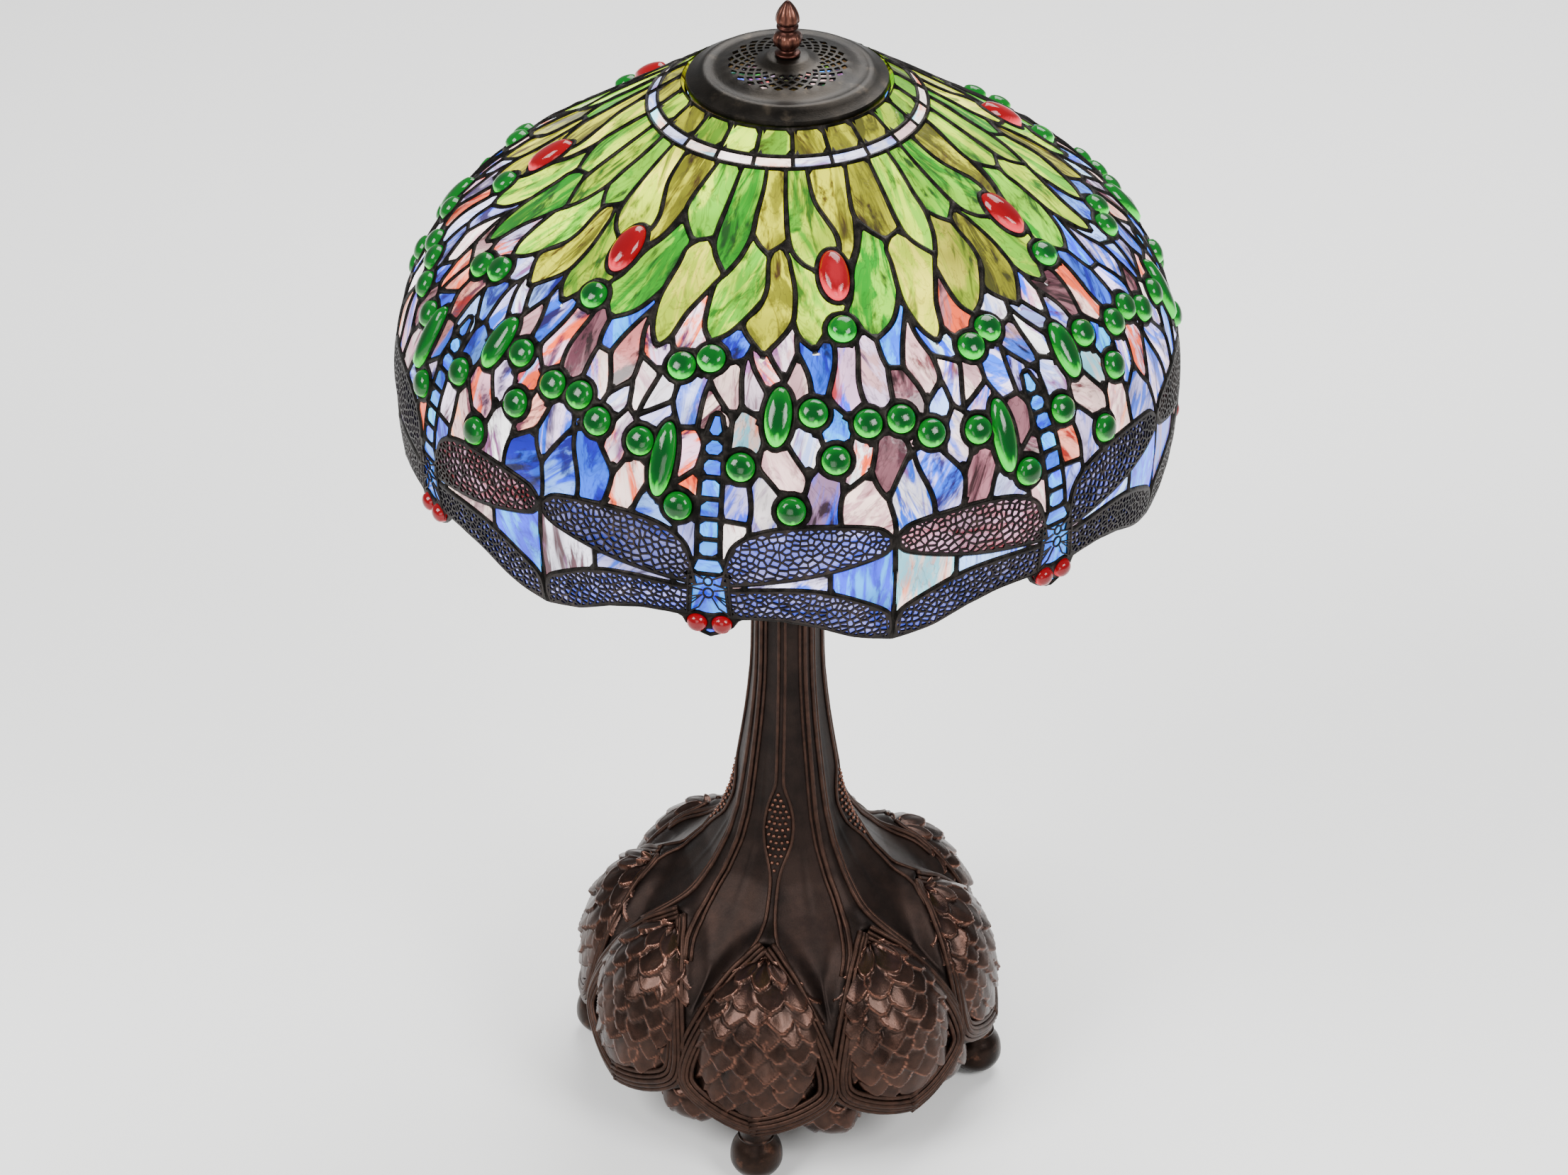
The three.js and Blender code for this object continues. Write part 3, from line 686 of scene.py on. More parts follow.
class Val:
    """A value in a material, written in sums."""

    def __init__(self, finish, socket):
        self.finish, self.socket = finish, socket

    def sum(self, operation, first, second):
        return self.finish.node("ShaderNodeMath", {"operation": operation}, first, second)

    def __add__(self, other):
        return self.sum("ADD", self, other)

    def __sub__(self, other):
        return self.sum("SUBTRACT", self, other)

    def __rsub__(self, other):
        return self.sum("SUBTRACT", other, self)

    def __mul__(self, other):
        return self.sum("MULTIPLY", self, other)

    __radd__ = __add__
    __rmul__ = __mul__


class Finish:
    """A material made of nodes: node() adds one, and the last call, paint(), covers the surface."""

    def __init__(self, name):
        self.material = bpy.data.materials.new(name)
        self.material.use_nodes = True
        self.tree = self.material.node_tree
        self.tree.nodes.clear()

    def node(self, kind, settings=None, *values, out=0, **named):
        made = self.tree.nodes.new(kind)
        for key, value in (settings or {}).items():
            setattr(made, key, value)
        for key, value in [*enumerate(values), *named.items()]:
            socket = made.inputs[key if isinstance(key, int) else key.replace("_", " ")]
            if isinstance(value, Val):
                self.tree.links.new(value.socket, socket)
            elif socket.type == "RGBA":
                socket.default_value = (*value, 1.0)
            else:
                socket.default_value = value
        return Val(self, made.outputs[out]) if made.outputs else None

    def spread(self, value, low, high):
        """The value carried from low..high to 0..1, held at the ends."""
        settings = {"interpolation_type": "SMOOTHSTEP"}
        return self.node("ShaderNodeMapRange", settings, value, low, high, 0.0, 1.0)

    def mix(self, share, a, b):
        """Colour a carried towards colour b by a share."""
        made = self.node("ShaderNodeMix", {"data_type": "RGBA"}, out=2)
        node = made.socket.node
        for index, value in ((0, share), (6, a), (7, b)):
            if isinstance(value, Val):
                self.tree.links.new(value.socket, node.inputs[index])
            else:
                node.inputs[index].default_value = value if index == 0 else (*value, 1.0)
        return made

    def place(self):
        return self.node("ShaderNodeTexCoord", out=3)

    def attribute(self, name, colour=False):
        return self.node("ShaderNodeAttribute", {"attribute_name": name}, out=0 if colour else 2)

    def stretched(self, places, scale, turn=0.0):
        return self.node("ShaderNodeMapping", None, places, Scale=scale, Rotation=(0, 0, turn))

    def noise(self, places, scale, detail=4.0, rough=0.55, bend=0.0):
        return self.node("ShaderNodeTexNoise", None, Vector=places, Scale=scale, Detail=detail,
                         Roughness=rough, Distortion=bend)

    def bump(self, height, strength, distance):
        return self.node("ShaderNodeBump", None, Height=height, Strength=strength, Distance=distance)

    def paint(self, **sockets):
        shader = self.node("ShaderNodeBsdfPrincipled", None, **sockets)
        self.node("ShaderNodeOutputMaterial", None, Surface=shader)
        return self.material


def cast_metal(name, deep, plain, worn, rough=0.42, grain=900.0, edge=True):
    """A patinated casting: dark and plain patina in random patches, and worn bright where its points' edge
    value says, or in random patches when edge is off.
    """
    f = Finish(name)
    places = f.place()
    cloud = f.noise(places, 34, 5, 0.6)
    fine = f.noise(places, grain, 3, 0.6)
    ground = f.mix(f.spread(cloud, 0.3, 0.7), deep, plain)
    if edge:
        wear = f.attribute("edge") * (0.55 + 0.9 * f.spread(f.noise(places, 160, 4, 0.6), 0.3, 0.75))
        wear = f.node("ShaderNodeClamp", None, wear)
    else:
        wear = f.spread(f.noise(places, 80, 4, 0.6), 0.55, 0.8) * 0.5
    satin = rough + 0.16 * (cloud - 0.5) + 0.14 * fine - 0.07 * wear
    return f.paint(Base_Color=f.mix(wear, ground, worn), Metallic=0.9, Roughness=satin,
                   Normal=f.bump(fine, 0.16, 0.0006))


def base_bronze():
    """Smooth and scaled parts of the base: the scales are rubbed to a brighter satin."""
    smooth = cast_metal("base_bronze", (0.008, 0.0054, 0.0046), (0.021, 0.013, 0.0105), (0.17, 0.078, 0.05),
                        0.43)
    scaled = cast_metal("cone_bronze", (0.010, 0.007, 0.006), (0.032, 0.020, 0.016), (0.25, 0.105, 0.068),
                        0.24)
    return smooth, scaled


def streaky_glass(name, glow_strength=3.2):
    """Opalescent sheet glass lit from behind: three tints dragged into each other, with wisps and veins."""
    f = Finish(name)
    places = f.node("ShaderNodeUVMap", {"uv_map": "flow"})
    a, b, c = (f.attribute(f"tint_{letter}", True) for letter in "abc")
    glow = f.attribute("glow")
    drag = f.noise(f.stretched(places, (42, 9, 1)), 1.6, 5, 0.6, 1.4)
    smear = f.noise(f.stretched(places, (30, 10, 1), 0.2), 1.5, 4, 0.6, 2.2)
    wisp = f.noise(f.stretched(places, (80, 14, 1), 0.25), 1.6, 5, 0.62, 1.6)
    vein = f.noise(f.stretched(places, (24, 9, 1), -0.3), 2.6, 3, 0.5, 2.4)
    cloud = f.noise(places, 26, 2, 0.5)
    colour = f.mix(f.spread(drag, 0.45, 0.57), a, b)
    colour = f.mix(f.spread(smear, 0.5, 0.66) * 0.95, colour, c)
    colour = f.mix(f.spread(wisp, 0.56, 0.76) * 0.4, colour, f.mix(0.6, a, b))
    line = 1 - f.spread(f.node("ShaderNodeMath", {"operation": "ABSOLUTE"}, vein - 0.5), 0.0, 0.03)
    colour = f.mix(line * 0.45, colour, f.mix(0.75, colour, (0.012, 0.006, 0.006)))
    light = glow * (0.55 + 0.6 * f.spread(cloud, 0.3, 0.7))
    lit = f.node("ShaderNodeVectorMath", {"operation": "SCALE"}, colour, Scale=light)
    ripple = f.noise(f.place(), 120, 2, 0.5, 0.4)
    return f.paint(Base_Color=f.mix(0.9, colour, (0.01, 0.01, 0.01)), Roughness=0.1 + 0.1 * wisp,
                   Emission_Color=lit, Emission_Strength=glow_strength, Specular_IOR_Level=0.4,
                   Normal=f.bump(ripple, 0.25, 0.0012))


def jewel_glass(name, deep, bright, glint, strength=1.0):
    """Pressed cabochon glass with painted light: deep at the heart, a painted bright rim, a painted crescent
    highlight in the glint colour, and a painted glow at the heart where a bulb is near.
    """
    f = Finish(name)
    places = f.node("ShaderNodeUVMap", {"uv_map": "flow"})
    glow = f.attribute("glow")
    off = f.node("ShaderNodeVectorMath", {"operation": "LENGTH"}, places, out=1)
    swirl = f.noise(f.stretched(places, (1.6, 1.0, 1)), 1.7, 3, 0.6, 1.6)
    fine = f.noise(places, 5, 4, 0.65, 0.6)
    below = f.node("ShaderNodeVectorMath", {"operation": "DISTANCE"}, places, (0.12, 0.35, 0), out=1)
    spot = f.node("ShaderNodeVectorMath", {"operation": "DISTANCE"}, places, (0.1, -0.72, 0), out=1)
    # a painted bright rim, where light from behind comes through the stone's edge
    rim = f.spread(off + 0.25 * (swirl - 0.5), 0.3, 0.95)
    colour = f.mix(rim * 0.9, deep, bright)
    # a painted crescent highlight along the stone's lower edge, and a painted spot of light near it
    crescent = f.spread(below + 0.25 * (fine - 0.5), 1.0, 1.3) + 0.6 * (1 - f.spread(spot, 0.05, 0.2))
    # haze is a painted glow at the stone's heart, stronger where a bulb is near
    haze = (1 - f.spread(off + 0.4 * (fine - 0.5), 0.2, 0.75)) * f.spread(glow, 1.15, 1.75)
    painted_shine = f.node("ShaderNodeClamp", None, crescent * f.spread(glow, 0.35, 1.1) + haze)
    colour = f.mix(painted_shine, colour, glint)
    lit = f.node("ShaderNodeVectorMath", {"operation": "SCALE"}, colour, Scale=glow)
    return f.paint(Base_Color=f.mix(0.1, deep, colour), Roughness=0.05 + 0.03 * swirl, Emission_Color=lit,
                   Emission_Strength=strength, Coat_Weight=0.05, Coat_Roughness=0.02,
                   Specular_IOR_Level=0.35, Normal=f.bump(swirl, 0.12, 0.001))


def wrought_lead():
    f = Finish("patinated_lead")
    places = f.place()
    lumps, fine = f.noise(places, 150, 3, 0.5), f.noise(places, 900, 3, 0.6)
    colour = f.mix(f.spread(lumps, 0.35, 0.7), (0.005, 0.0045, 0.004), (0.02, 0.017, 0.015))
    return f.paint(Base_Color=colour, Metallic=0.95, Roughness=0.4 + 0.25 * fine,
                   Normal=f.bump(lumps + 0.25 * fine, 0.35, 0.0012))


def frosted_bulb():
    f = Finish("frosted_bulb")
    haze = f.noise(f.place(), 60, 3, 0.5)
    colour = f.mix(haze, (1.0, 0.86, 0.66), (1.0, 0.93, 0.8))
    return f.paint(Base_Color=colour, Roughness=0.45 + 0.1 * haze, Emission_Color=colour,
                   Emission_Strength=2.4)


def felt():
    f = Finish("green_felt")
    places = f.place()
    nap = f.noise(places, 1500, 4, 0.7)
    colour = f.mix(nap, (0.012, 0.03, 0.014), (0.05, 0.09, 0.05))
    return f.paint(Base_Color=colour, Roughness=0.9 + 0.1 * nap, Normal=f.bump(nap, 0.5, 0.0006))


def moulded_plastic():
    f = Finish("moulded_plastic")
    grain = f.noise(f.place(), 1200, 3, 0.6)
    colour = f.mix(grain, (0.012, 0.012, 0.012), (0.03, 0.03, 0.03))
    return f.paint(Base_Color=colour, Roughness=0.45 + 0.2 * grain, Normal=f.bump(grain, 0.2, 0.0003))


def turned_metal(name, dark, light, rough=0.3):
    """Lathe-turned or drawn metal with fine rings and a little tarnish."""
    f = Finish(name)
    places = f.place()
    rings = f.noise(f.stretched(places, (1, 1, 60)), 40, 3, 0.6)
    tarnish = f.spread(f.noise(places, 70, 4, 0.6), 0.4, 0.75)
    colour = f.mix(0.6 * tarnish + 0.25 * rings, light, dark)
    return f.paint(Base_Color=colour, Metallic=1.0, Roughness=rough + 0.2 * tarnish + 0.1 * rings,
                   Normal=f.bump(rings, 0.08, 0.0004))


# ---------------------------------------------------------------- the shade


# The light on the glass: what reaches all of it, and what each bulb adds, which halves at a reach in metres.
ROOM_GLOW, BULB_GLOW, BULB_REACH = 0.42, 1.7, 0.08


def bulb_centres():
    boxes = [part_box(f"bulb_{number}") for number in (1, 2, 3)]
    return [np.array((Vector(low) + Vector(high)) / 2) for low, high in boxes]


def glow_on(points, centres):
    """How brightly the bulbs light the glass at each point."""
    light = np.full(len(points), ROOM_GLOW)
    for centre in centres:
        light += BULB_GLOW / (1 + ((points - centre) ** 2).sum(axis=1) / BULB_REACH ** 2)
    return light


def grain_of(piece, dice):
    """The direction the streaks run in a piece, in radians from straight down the glass."""
    kind = piece[0]
    loop = np.array(piece[3][0]) * (float(true_width(piece[2][1])), 1.0)
    loop = loop - loop.mean(axis=0)
    spread = np.linalg.eigh(loop.T @ loop)[1][:, 1]
    along = math.atan2(spread[0], spread[1])
    if kind in ("field", "crown"):
        return along * 0.5 + dice.normal(0, 0.35)
    return along + dice.normal(0, 0.1)


def tint_of(piece, copy, dice):
    """The three tints of one piece of glass, each piece cut from a slightly different sheet."""
    kind, which = piece[0], piece[1]
    if kind == "leaf":
        name = LEAF_TINTS[which] if dice.random() < 0.5 else LEAF_MIX[dice.integers(len(LEAF_MIX))]
    elif kind == "crown":
        name = CROWN_MIX[dice.integers(len(CROWN_MIX))]
    elif kind == "pale":
        name = PALE_MIX[dice.integers(len(PALE_MIX))]
    elif kind == "wing":
        name = "rosewing" if (3 * which + 5 * copy) % 11 in (2, 8) else "wing"
    elif kind == "body":
        name = "body"
    elif which in SKY_SEEDS and dice.random() < 0.75:
        name = "sky"
    elif which == BORDER_FIRST:
        name = "sky"
    else:
        name = FIELD_MIX[dice.integers(len(FIELD_MIX))]
    first, second, streak = (np.array(tint) for tint in TINTS[name])
    if kind == "field" and name != "sky" and dice.random() < 0.45:
        # a sheet with a second colour pulled through it
        second = np.array(TINTS[SECOND_MIX[dice.integers(len(SECOND_MIX))]][1])
    share = dice.uniform(-0.1, 0.35)
    drift = dice.normal(LIGHTNESS.get(kind, FIELD_LIGHTNESS), 0.07)
    lights = []
    for look in ((first + (second - first) * share) * drift, second * drift, streak * drift):
        light = np.clip(look, 0, 1) ** TINT_DEPTH
        middle = light.mean()
        lights.append(np.clip(middle + (light - middle) * TINT_COLOUR, 0, 1))
    return lights


def glass_object(name, pieces, material, copies, seed):
    """One mesh of closed slabs of glass, with tints, streak direction and light on their points."""
    dice = np.random.default_rng(seed)
    slab = Slab()
    tints, flows = ([], [], []), []
    for piece in pieces:
        kind, _, middle, loops = piece
        m = float(true_width(middle[1]))
        flat, _, glass = split_piece(loops, max(0.5, HALF_LEAD[kind] - 0.6))
        if not glass:
            continue
        flat, glass = kept_only(flat, glass)
        count = len(flat)
        faces = [(c, b, a) for a, b, c in glass] + [(a + count, b + count, c + count) for a, b, c in glass]
        faces += walls(glass, count)
        for copy in range(copies):
            moved = flat + (copy * PERIOD * PLAN, 0)
            slab.add(np.concatenate((on_shade(moved, 0.1), on_shade(moved, -GLASS))), faces)
            for tint, colour in zip(tints, tint_of(piece, copy, dice)):
                tint.append(np.tile((*colour, 1.0), (2 * count, 1)))
            turn = grain_of(piece, dice)
            local = (flat - middle) * (m, 1.0) * MM
            across = local[:, 0] * math.cos(turn) - local[:, 1] * math.sin(turn)
            along = local[:, 0] * math.sin(turn) + local[:, 1] * math.cos(turn)
            flow = np.stack((across, along), axis=1) + dice.uniform(0, 30, 2)
            flows.append(np.concatenate((flow, flow)))
    points = slab.all_points()
    made = mesh_object(name, points, slab.faces)
    for letter, tint in zip("abc", tints):
        set_values(made.data, f"tint_{letter}", "FLOAT_COLOR", np.concatenate(tint))
    set_values(made.data, "glow", "FLOAT", glow_on(points, bulb_centres()))
    set_uv(made.data, np.concatenate(flows))
    made.data.materials.append(material)
    smoothed(made, 40)
    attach(made, "shade")
    return made


def jewel_mesh(places, half_width, half_length, height, lean, steps=24):
    """Domed stones at places on the shade: points, faces, and each point's place across its stone."""
    # the share of the width, with the height off the glass at the girdle and the share of the dome above it
    girdle = [(1.0, -GLASS - 1.2), (1.0, 0.6), (0.97, 1.6)]
    rings = girdle + [(0.86, 0.5), (0.66, 0.75), (0.4, 0.92), (0.15, 0.99)]
    slab, spread = Slab(), []
    for degrees, down in places:
        radius, tall, fall = (float(v) for v in shade_at(down))
        angle = math.radians(degrees + SHADE_TURN)
        centre = np.array((radius * math.sin(angle), -radius * math.cos(angle), tall))
        around = np.array((math.cos(angle), math.sin(angle), 0))
        out = np.array((math.sin(fall) * math.sin(angle), -math.sin(fall) * math.cos(angle), math.cos(fall)))
        below = np.cross(out, around)
        if below[2] > 0:
            below = -below
        points = [centre + out * (-GLASS - 1.2)]
        flat = [(0.0, 0.0)]
        for k, (share, lift) in enumerate(rings):
            up = lift if k < len(girdle) else girdle[-1][1] + (height - girdle[-1][1]) * lift
            for i in range(steps):
                turn = 2 * math.pi * i / steps
                x, y = share * half_width * math.cos(turn), share * half_length * math.sin(turn)
                x, y = x * math.cos(lean) - y * math.sin(lean), x * math.sin(lean) + y * math.cos(lean)
                points.append(centre + around * x + below * y + out * up)
                flat.append((share * math.cos(turn), -share * math.sin(turn)))
        points.append(centre + out * height)
        flat.append((0.0, 0.0))
        faces = [(0, 1 + (i + 1) % steps, 1 + i) for i in range(steps)]
        faces += ring_faces(len(rings), steps, 1)
        top = 1 + (len(rings) - 1) * steps
        faces += [(top + i, top + (i + 1) % steps, len(points) - 1) for i in range(steps)]
        slab.add(np.array(points) * MM, [face[::-1] for face in faces])
        spread.append(np.array(flat))
    return slab, np.concatenate(spread)


def jewel_object(name, slab, spread, material):
    """Makes the gathered stones one piece, lit like the glass round them."""
    points = slab.all_points()
    made = mesh_object(name, points, slab.faces)
    set_uv(made.data, spread)
    set_values(made.data, "glow", "FLOAT", glow_on(points, bulb_centres()))
    made.data.materials.append(material)
    outward(made)
    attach(made, "shade")
    return made


def tube(points, radius, sides=8, closed=False):
    """A bar along points, as (points, faces); radius is one number or one to a point."""
    points = np.asarray(points, float)
    count = len(points)
    radius = np.broadcast_to(radius, count)
    ahead = np.roll(points, -1, axis=0) - np.roll(points, 1, axis=0)
    if not closed:
        ahead[0], ahead[-1] = points[1] - points[0], points[-1] - points[-2]
    ahead /= np.linalg.norm(ahead, axis=1)[:, None]
    side = np.cross(ahead[0], (0.1, 0.2, 1.0))
    rings = []
    for i in range(count):
        side = side - ahead[i] * np.dot(side, ahead[i])
        side /= np.linalg.norm(side)
        up = np.cross(ahead[i], side)
        turn = 2 * np.pi * np.arange(sides) / sides
        rings.append(points[i] + radius[i] * (np.outer(np.cos(turn), side) + np.outer(np.sin(turn), up)))
    faces = ring_faces(count, sides, closed=closed)
    if not closed:
        faces += end_faces(count, sides)
    return np.concatenate(rings), faces


# The filigree's cells: rows across a wing, cells to a row in its lower and in its upper half, and in
# millimetres the least distance between their middles, half the bar between them and the rim's width.
VEIN_ROWS, LONG_CELLS, SHORT_CELLS = 9, 18, 29
CELL_APART, HALF_BAR, WING_RIM = 2.3, 0.55, 1.5


def wing_veins(wing, seed):
    """The bars of one wing's filigree over the plan, as points and triangles."""
    dice = np.random.default_rng(seed)
    rim = outline(*wing, step=2.5)
    m = float(true_width(290))
    upper = np.array(through(plan(wing[0]), 1.0))
    lower = np.array(through(plan(wing[1]), 1.0))[::-1]
    seeds = []
    for row in range(VEIN_ROWS):
        b = (row + 0.5) / VEIN_ROWS
        count = LONG_CELLS if b > 0.5 else SHORT_CELLS
        for k in range(60):
            a = (k + 0.5 * (row % 2)) / count + dice.normal(0, 0.007)
            if not 0 < a < 1:
                continue
            p = upper[int(a * (len(upper) - 1))] * (1 - b) + lower[int(a * (len(lower) - 1))] * b
            p = p + dice.normal(0, 0.25 if b > 0.5 else 0.7, 2)
            if all(math.hypot((p[0] - q[0]) * m, p[1] - q[1]) > CELL_APART for q in seeds):
                seeds.append(tuple(p))
    holes = []
    for cell in cells_round(seeds, 9, (m, 1.0)):
        if len(cell) < 3:
            continue
        hole = np.array(cell) * (m, 1.0)
        hole = [tuple(p) for p in (hole if area(hole) > 0 else hole[::-1])]
        for start, end in zip(list(hole), hole[1:] + hole[:1]):
            run = np.subtract(end, start)
            if np.linalg.norm(run) > 1e-6 and len(hole) > 2:
                out = np.array((run[1], -run[0])) / np.linalg.norm(run)
                hole = clipped(hole, start - out * HALF_BAR, out)
        if len(hole) < 3 or abs(area(hole)) < 1.2:
            continue
        hole = np.array(hole) / (m, 1.0)
        depth = inside_by(hole, rim)
        if depth.max() < WING_RIM + 0.4:
            continue
        core = hole[depth.argmax()]
        near = np.clip((depth.max() - WING_RIM) / np.maximum(depth.max() - depth, 1e-6), 0, 1)
        hole = core + (hole - core) * near[:, None]
        if abs(area(hole)) > 1.0:
            holes.append([tuple(p) for p in hole])
    flat, triangles, inside = arranged([rim] + holes)
    bars = [tuple(t) for t, faces in zip(triangles, inside) if list(faces) == [0]]
    return flat, bars


def raised(flat, triangles, low, high):
    """A flat pattern as a relief on the shade: its top and its walls."""
    flat, triangles = kept_only(flat, triangles)
    faces = [(c, b, a) for a, b, c in triangles] + walls(triangles, len(flat))
    return np.concatenate((on_shade(flat, high), on_shade(flat, low))), faces


class LampSizes(bpy.types.PropertyGroup):
    """Sizes that a user would change."""

    wire: bpy.props.FloatProperty(
        name="Rim wire", description="Radius of the wire round the shade's rim",
        default=0.0019, unit="LENGTH")
    filigree: bpy.props.FloatProperty(
        name="Filigree height", description="How far the wing filigree stands off the glass, in mm",
        default=1.5)
    stone: bpy.props.FloatProperty(
        name="Stone height", description="Height of the round green stones, in mm",
        default=6.2)


class LampColours(bpy.types.PropertyGroup):
    """Colours that a user would change."""

    floor: bpy.props.FloatVectorProperty(
        name="Floor", description="Colour of the floor and backdrop",
        subtype="COLOR", default=(0.93, 0.93, 0.92))
    stone: bpy.props.FloatVectorProperty(
        name="Stones", description="Bright colour of the green stones",
        subtype="COLOR", default=(0.0, 0.13, 0.009))
    ruby: bpy.props.FloatVectorProperty(
        name="Ruby", description="Bright colour of the red stones",
        subtype="COLOR", default=(0.24, 0.0, 0.003))


class BuildShade(bpy.types.Operator):
    """Builds the leaded glass, its lead lines and the rim wire."""

    bl_idname = "lamp.build_shade"
    bl_label = "Leaded shade"

    def execute(self, context):
        sizes = context.scene.lamp_sizes
        glass = streaky_glass("streaky_glass")
        lead_metal = wrought_lead()
        pieces, crown = shade_pieces(), crown_pieces()
        lead = Slab()
        for piece in pieces:
            lead_of(piece, lead, HALF_LEAD[piece[0]])
        points, faces = turned_copies(lead.all_points(), lead.faces, REPEATS, PERIOD)
        network = mesh_object("shade_lead", points, faces)
        top = Slab()
        for piece in crown:
            lead_of(piece, top, HALF_LEAD[piece[0]])
        crown_lead = mesh_object("crown_lead", top.all_points(), top.faces)
        for made in (network, crown_lead):
            shape = bmesh.new()
            shape.from_mesh(made.data)
            bmesh.ops.remove_doubles(shape, verts=shape.verts, dist=0.00004)
            shape.to_mesh(made.data)
            shape.free()
            made.data.materials.append(lead_metal)
            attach(made, "shade")
        around = np.arange(0, 360, 0.75)
        rim = on_shade([(u * PLAN, rim_at(u) + 0.6) for u in around], -GLASS / 2)
        wire = mesh_object("rim_wire", *tube(rim, sizes.wire, 8, closed=True))
        wire.data.materials.append(lead_metal)
        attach(wire, "shade")
        groups = {
            "leaf_glass": (("leaf",), REPEATS, "leaf_band_glass"),
            "field_glass": (("field",), REPEATS, "field_band_glass"),
            "wing_glass": (("wing", "body"), REPEATS, "dragonfly_border"),
        }
        for seed, (name, (kinds, copies, node)) in enumerate(groups.items()):
            made = glass_object(name, [p for p in pieces if p[0] in kinds], glass, copies, 11 + seed)
            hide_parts(node)
        for kind, node in (("crown", "crown_band_glass"), ("pale", "pale_band_glass")):
            made = glass_object(kind + "_glass", [p for p in crown if p[0] == kind], glass, 1, 31)
            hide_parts(node)
        return {"FINISHED"}


class BuildStones(bpy.types.Operator):
    """Sets the green and red stones in their lead rings, and the dragonflies' eyes."""

    bl_idname = "lamp.build_stones"
    bl_label = "Stones"

    def execute(self, context):
        colours, sizes = context.scene.lamp_colours, context.scene.lamp_sizes
        # the third colour of each is that of the stone's painted highlights
        green = jewel_glass("green_stone", (0.0, 0.028, 0.003), tuple(colours.stone), (0.02, 1.15, 0.05),
                            1.3)
        red = jewel_glass("ruby_stone", (0.11, 0.0, 0.002), tuple(colours.ruby), (1.3, 0.07, 0.11))
        turns = [k * PERIOD for k in range(REPEATS)]
        rounds = [(u + turn, s) for turn in turns for u, s in ROUND_JEWELS]
        stones = jewel_mesh(rounds, ROUND_HALF, ROUND_HALF, sizes.stone, 0)
        made = jewel_object("round_stones", *stones, green)
        for name, (place, w, h, lean) in zip(("front_ovals", "side_ovals"), OVAL_JEWELS):
            places = [(place[0] + turn, place[1]) for turn in turns]
            stones = jewel_object(name, *jewel_mesh(places, w, h, OVAL_TALL, math.radians(lean), 32), green)
        for k, turn in enumerate(turns):
            ruby = jewel_mesh([(RED_JEWEL[0] + turn, RED_JEWEL[1])], *RUBY_SIZE, 0, 36)
            stone = jewel_object(f"ruby_{k + 1}", *ruby, red)
            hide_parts(f"red_cabochon_{k + 1}")
        eyes = [(side * EYE[0] + turn, EYE[1]) for turn in turns for side in (-1, 1)]
        jewel_object("dragonfly_eyes", *jewel_mesh(eyes, *EYE_SIZE, 0), red)
        return {"FINISHED"}


class BuildFiligree(bpy.types.Operator):
    """Lays the pierced metal over each dragonfly's wings and body."""

    bl_idname = "lamp.build_filigree"
    bl_label = "Dragonfly filigree"

    def execute(self, context):
        metal = cast_metal("filigree_bronze", (0.008, 0.007, 0.007), (0.03, 0.024, 0.022),
                           (0.12, 0.085, 0.07), 0.45, edge=False)
        high = context.scene.lamp_sizes.filigree
        slab = Slab()
        for wing, seed in ((UPPER_WING, 3), (LOWER_WING, 4)):
            flat, bars = wing_veins(wing, seed)
            slab.add(*raised(flat, bars, -0.3, high))
            slab.add(*raised(flat * (-1, 1), [t[::-1] for t in bars], -0.3, high))
        for points, radius in self.body_bars():
            slab.add(*tube(on_shade(plan(points), 1.4), radius * MM, 6))
        for down, size in ((296, 2.6), (304.5, 3.0)):
            ring = ellipse((0, down), size, size * 1.15, 0, 16)
            slab.add(*tube(on_shade(ring, 1.8), 0.75 * MM, 6, closed=True))
        points, faces = slab.all_points(), slab.faces
        for k in range(REPEATS):
            made = mesh_object(f"filigree_{k + 1}", points @ turn_about(k * PERIOD).T, faces, smooth=False)
            made.data.materials.append(metal)
            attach(made, "shade")
            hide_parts(f"dragonfly_{k + 1}")
        return {"FINISHED"}

    @staticmethod
    def body_bars():
        """The bars over the thorax: crossings between the wings and a fork down to the eyes."""
        bars = []
        for side in (-1, 1):
            bars.append(([(side * 2.3, 291), (side * 0.7, 294.5)], 0.7))
            bars.append(([(side * 0.7, 298), (side * 2.7, 301)], 0.7))
            bars.append(([(side * 2.7, 301.5), (side * 0.8, 303)], 0.6))
            for low in (307, 310, 313.5):
                bars.append(([(side * 0.9, 306.5), (side * 2.8, low + 2)], 0.5))
            bars.append(([(side * 0.5, 308), (side * 1.4, 316), (side * 3.0, 321)], 0.6))
            bars.append(([(side * 2.7, 292), (side * 2.9, 306), (side * 3.1, 321)], 0.8))
        return bars


# ---------------------------------------------------------------- the base

# The bell of the base from its rim up to its neck: radius and height in millimetres.
BELL = [
    (130, 42), (131, 60), (128, 80), (122, 105), (112, 128), (100, 147), (88, 160), (72, 174), (58, 190),
    (50, 203), (45, 212), (38.4, 232), (36, 244), (33, 262), (30.3, 280), (27.8, 298), (25.8, 316),
    (24.2, 334), (23.4, 351), (22.6, 400), (22.4, 440), (22.4, 466),
]
WALL = 7.5  # of the bell
# The pointed frame round each cone, tip first: degrees to each side, radius, height.
FRAME = [(0, 91, 161), (4.2, 97, 155), (9.5, 108, 146), (15, 122, 128), (19.2, 134, 105), (21, 141, 84),
         (19.4, 144, 71), (12.2, 145.5, 59.5), (4.8, 147, 52.5), (-1, 148, 49.5)]
# Half the gap of the thin pair of ribs, with its opening for the beaded panel: height, millimetres.
THIN_RIB = [(462, 1.9), (300, 2.3), (266, 2.4), (256, 3.4), (243, 7.6), (228, 10.4), (214, 9.2), (202, 4.6),
            (194, 2.8), (182, 2.6), (172, 3.6), (164, 7.4), (157, 13.5), (150, 19.5)]
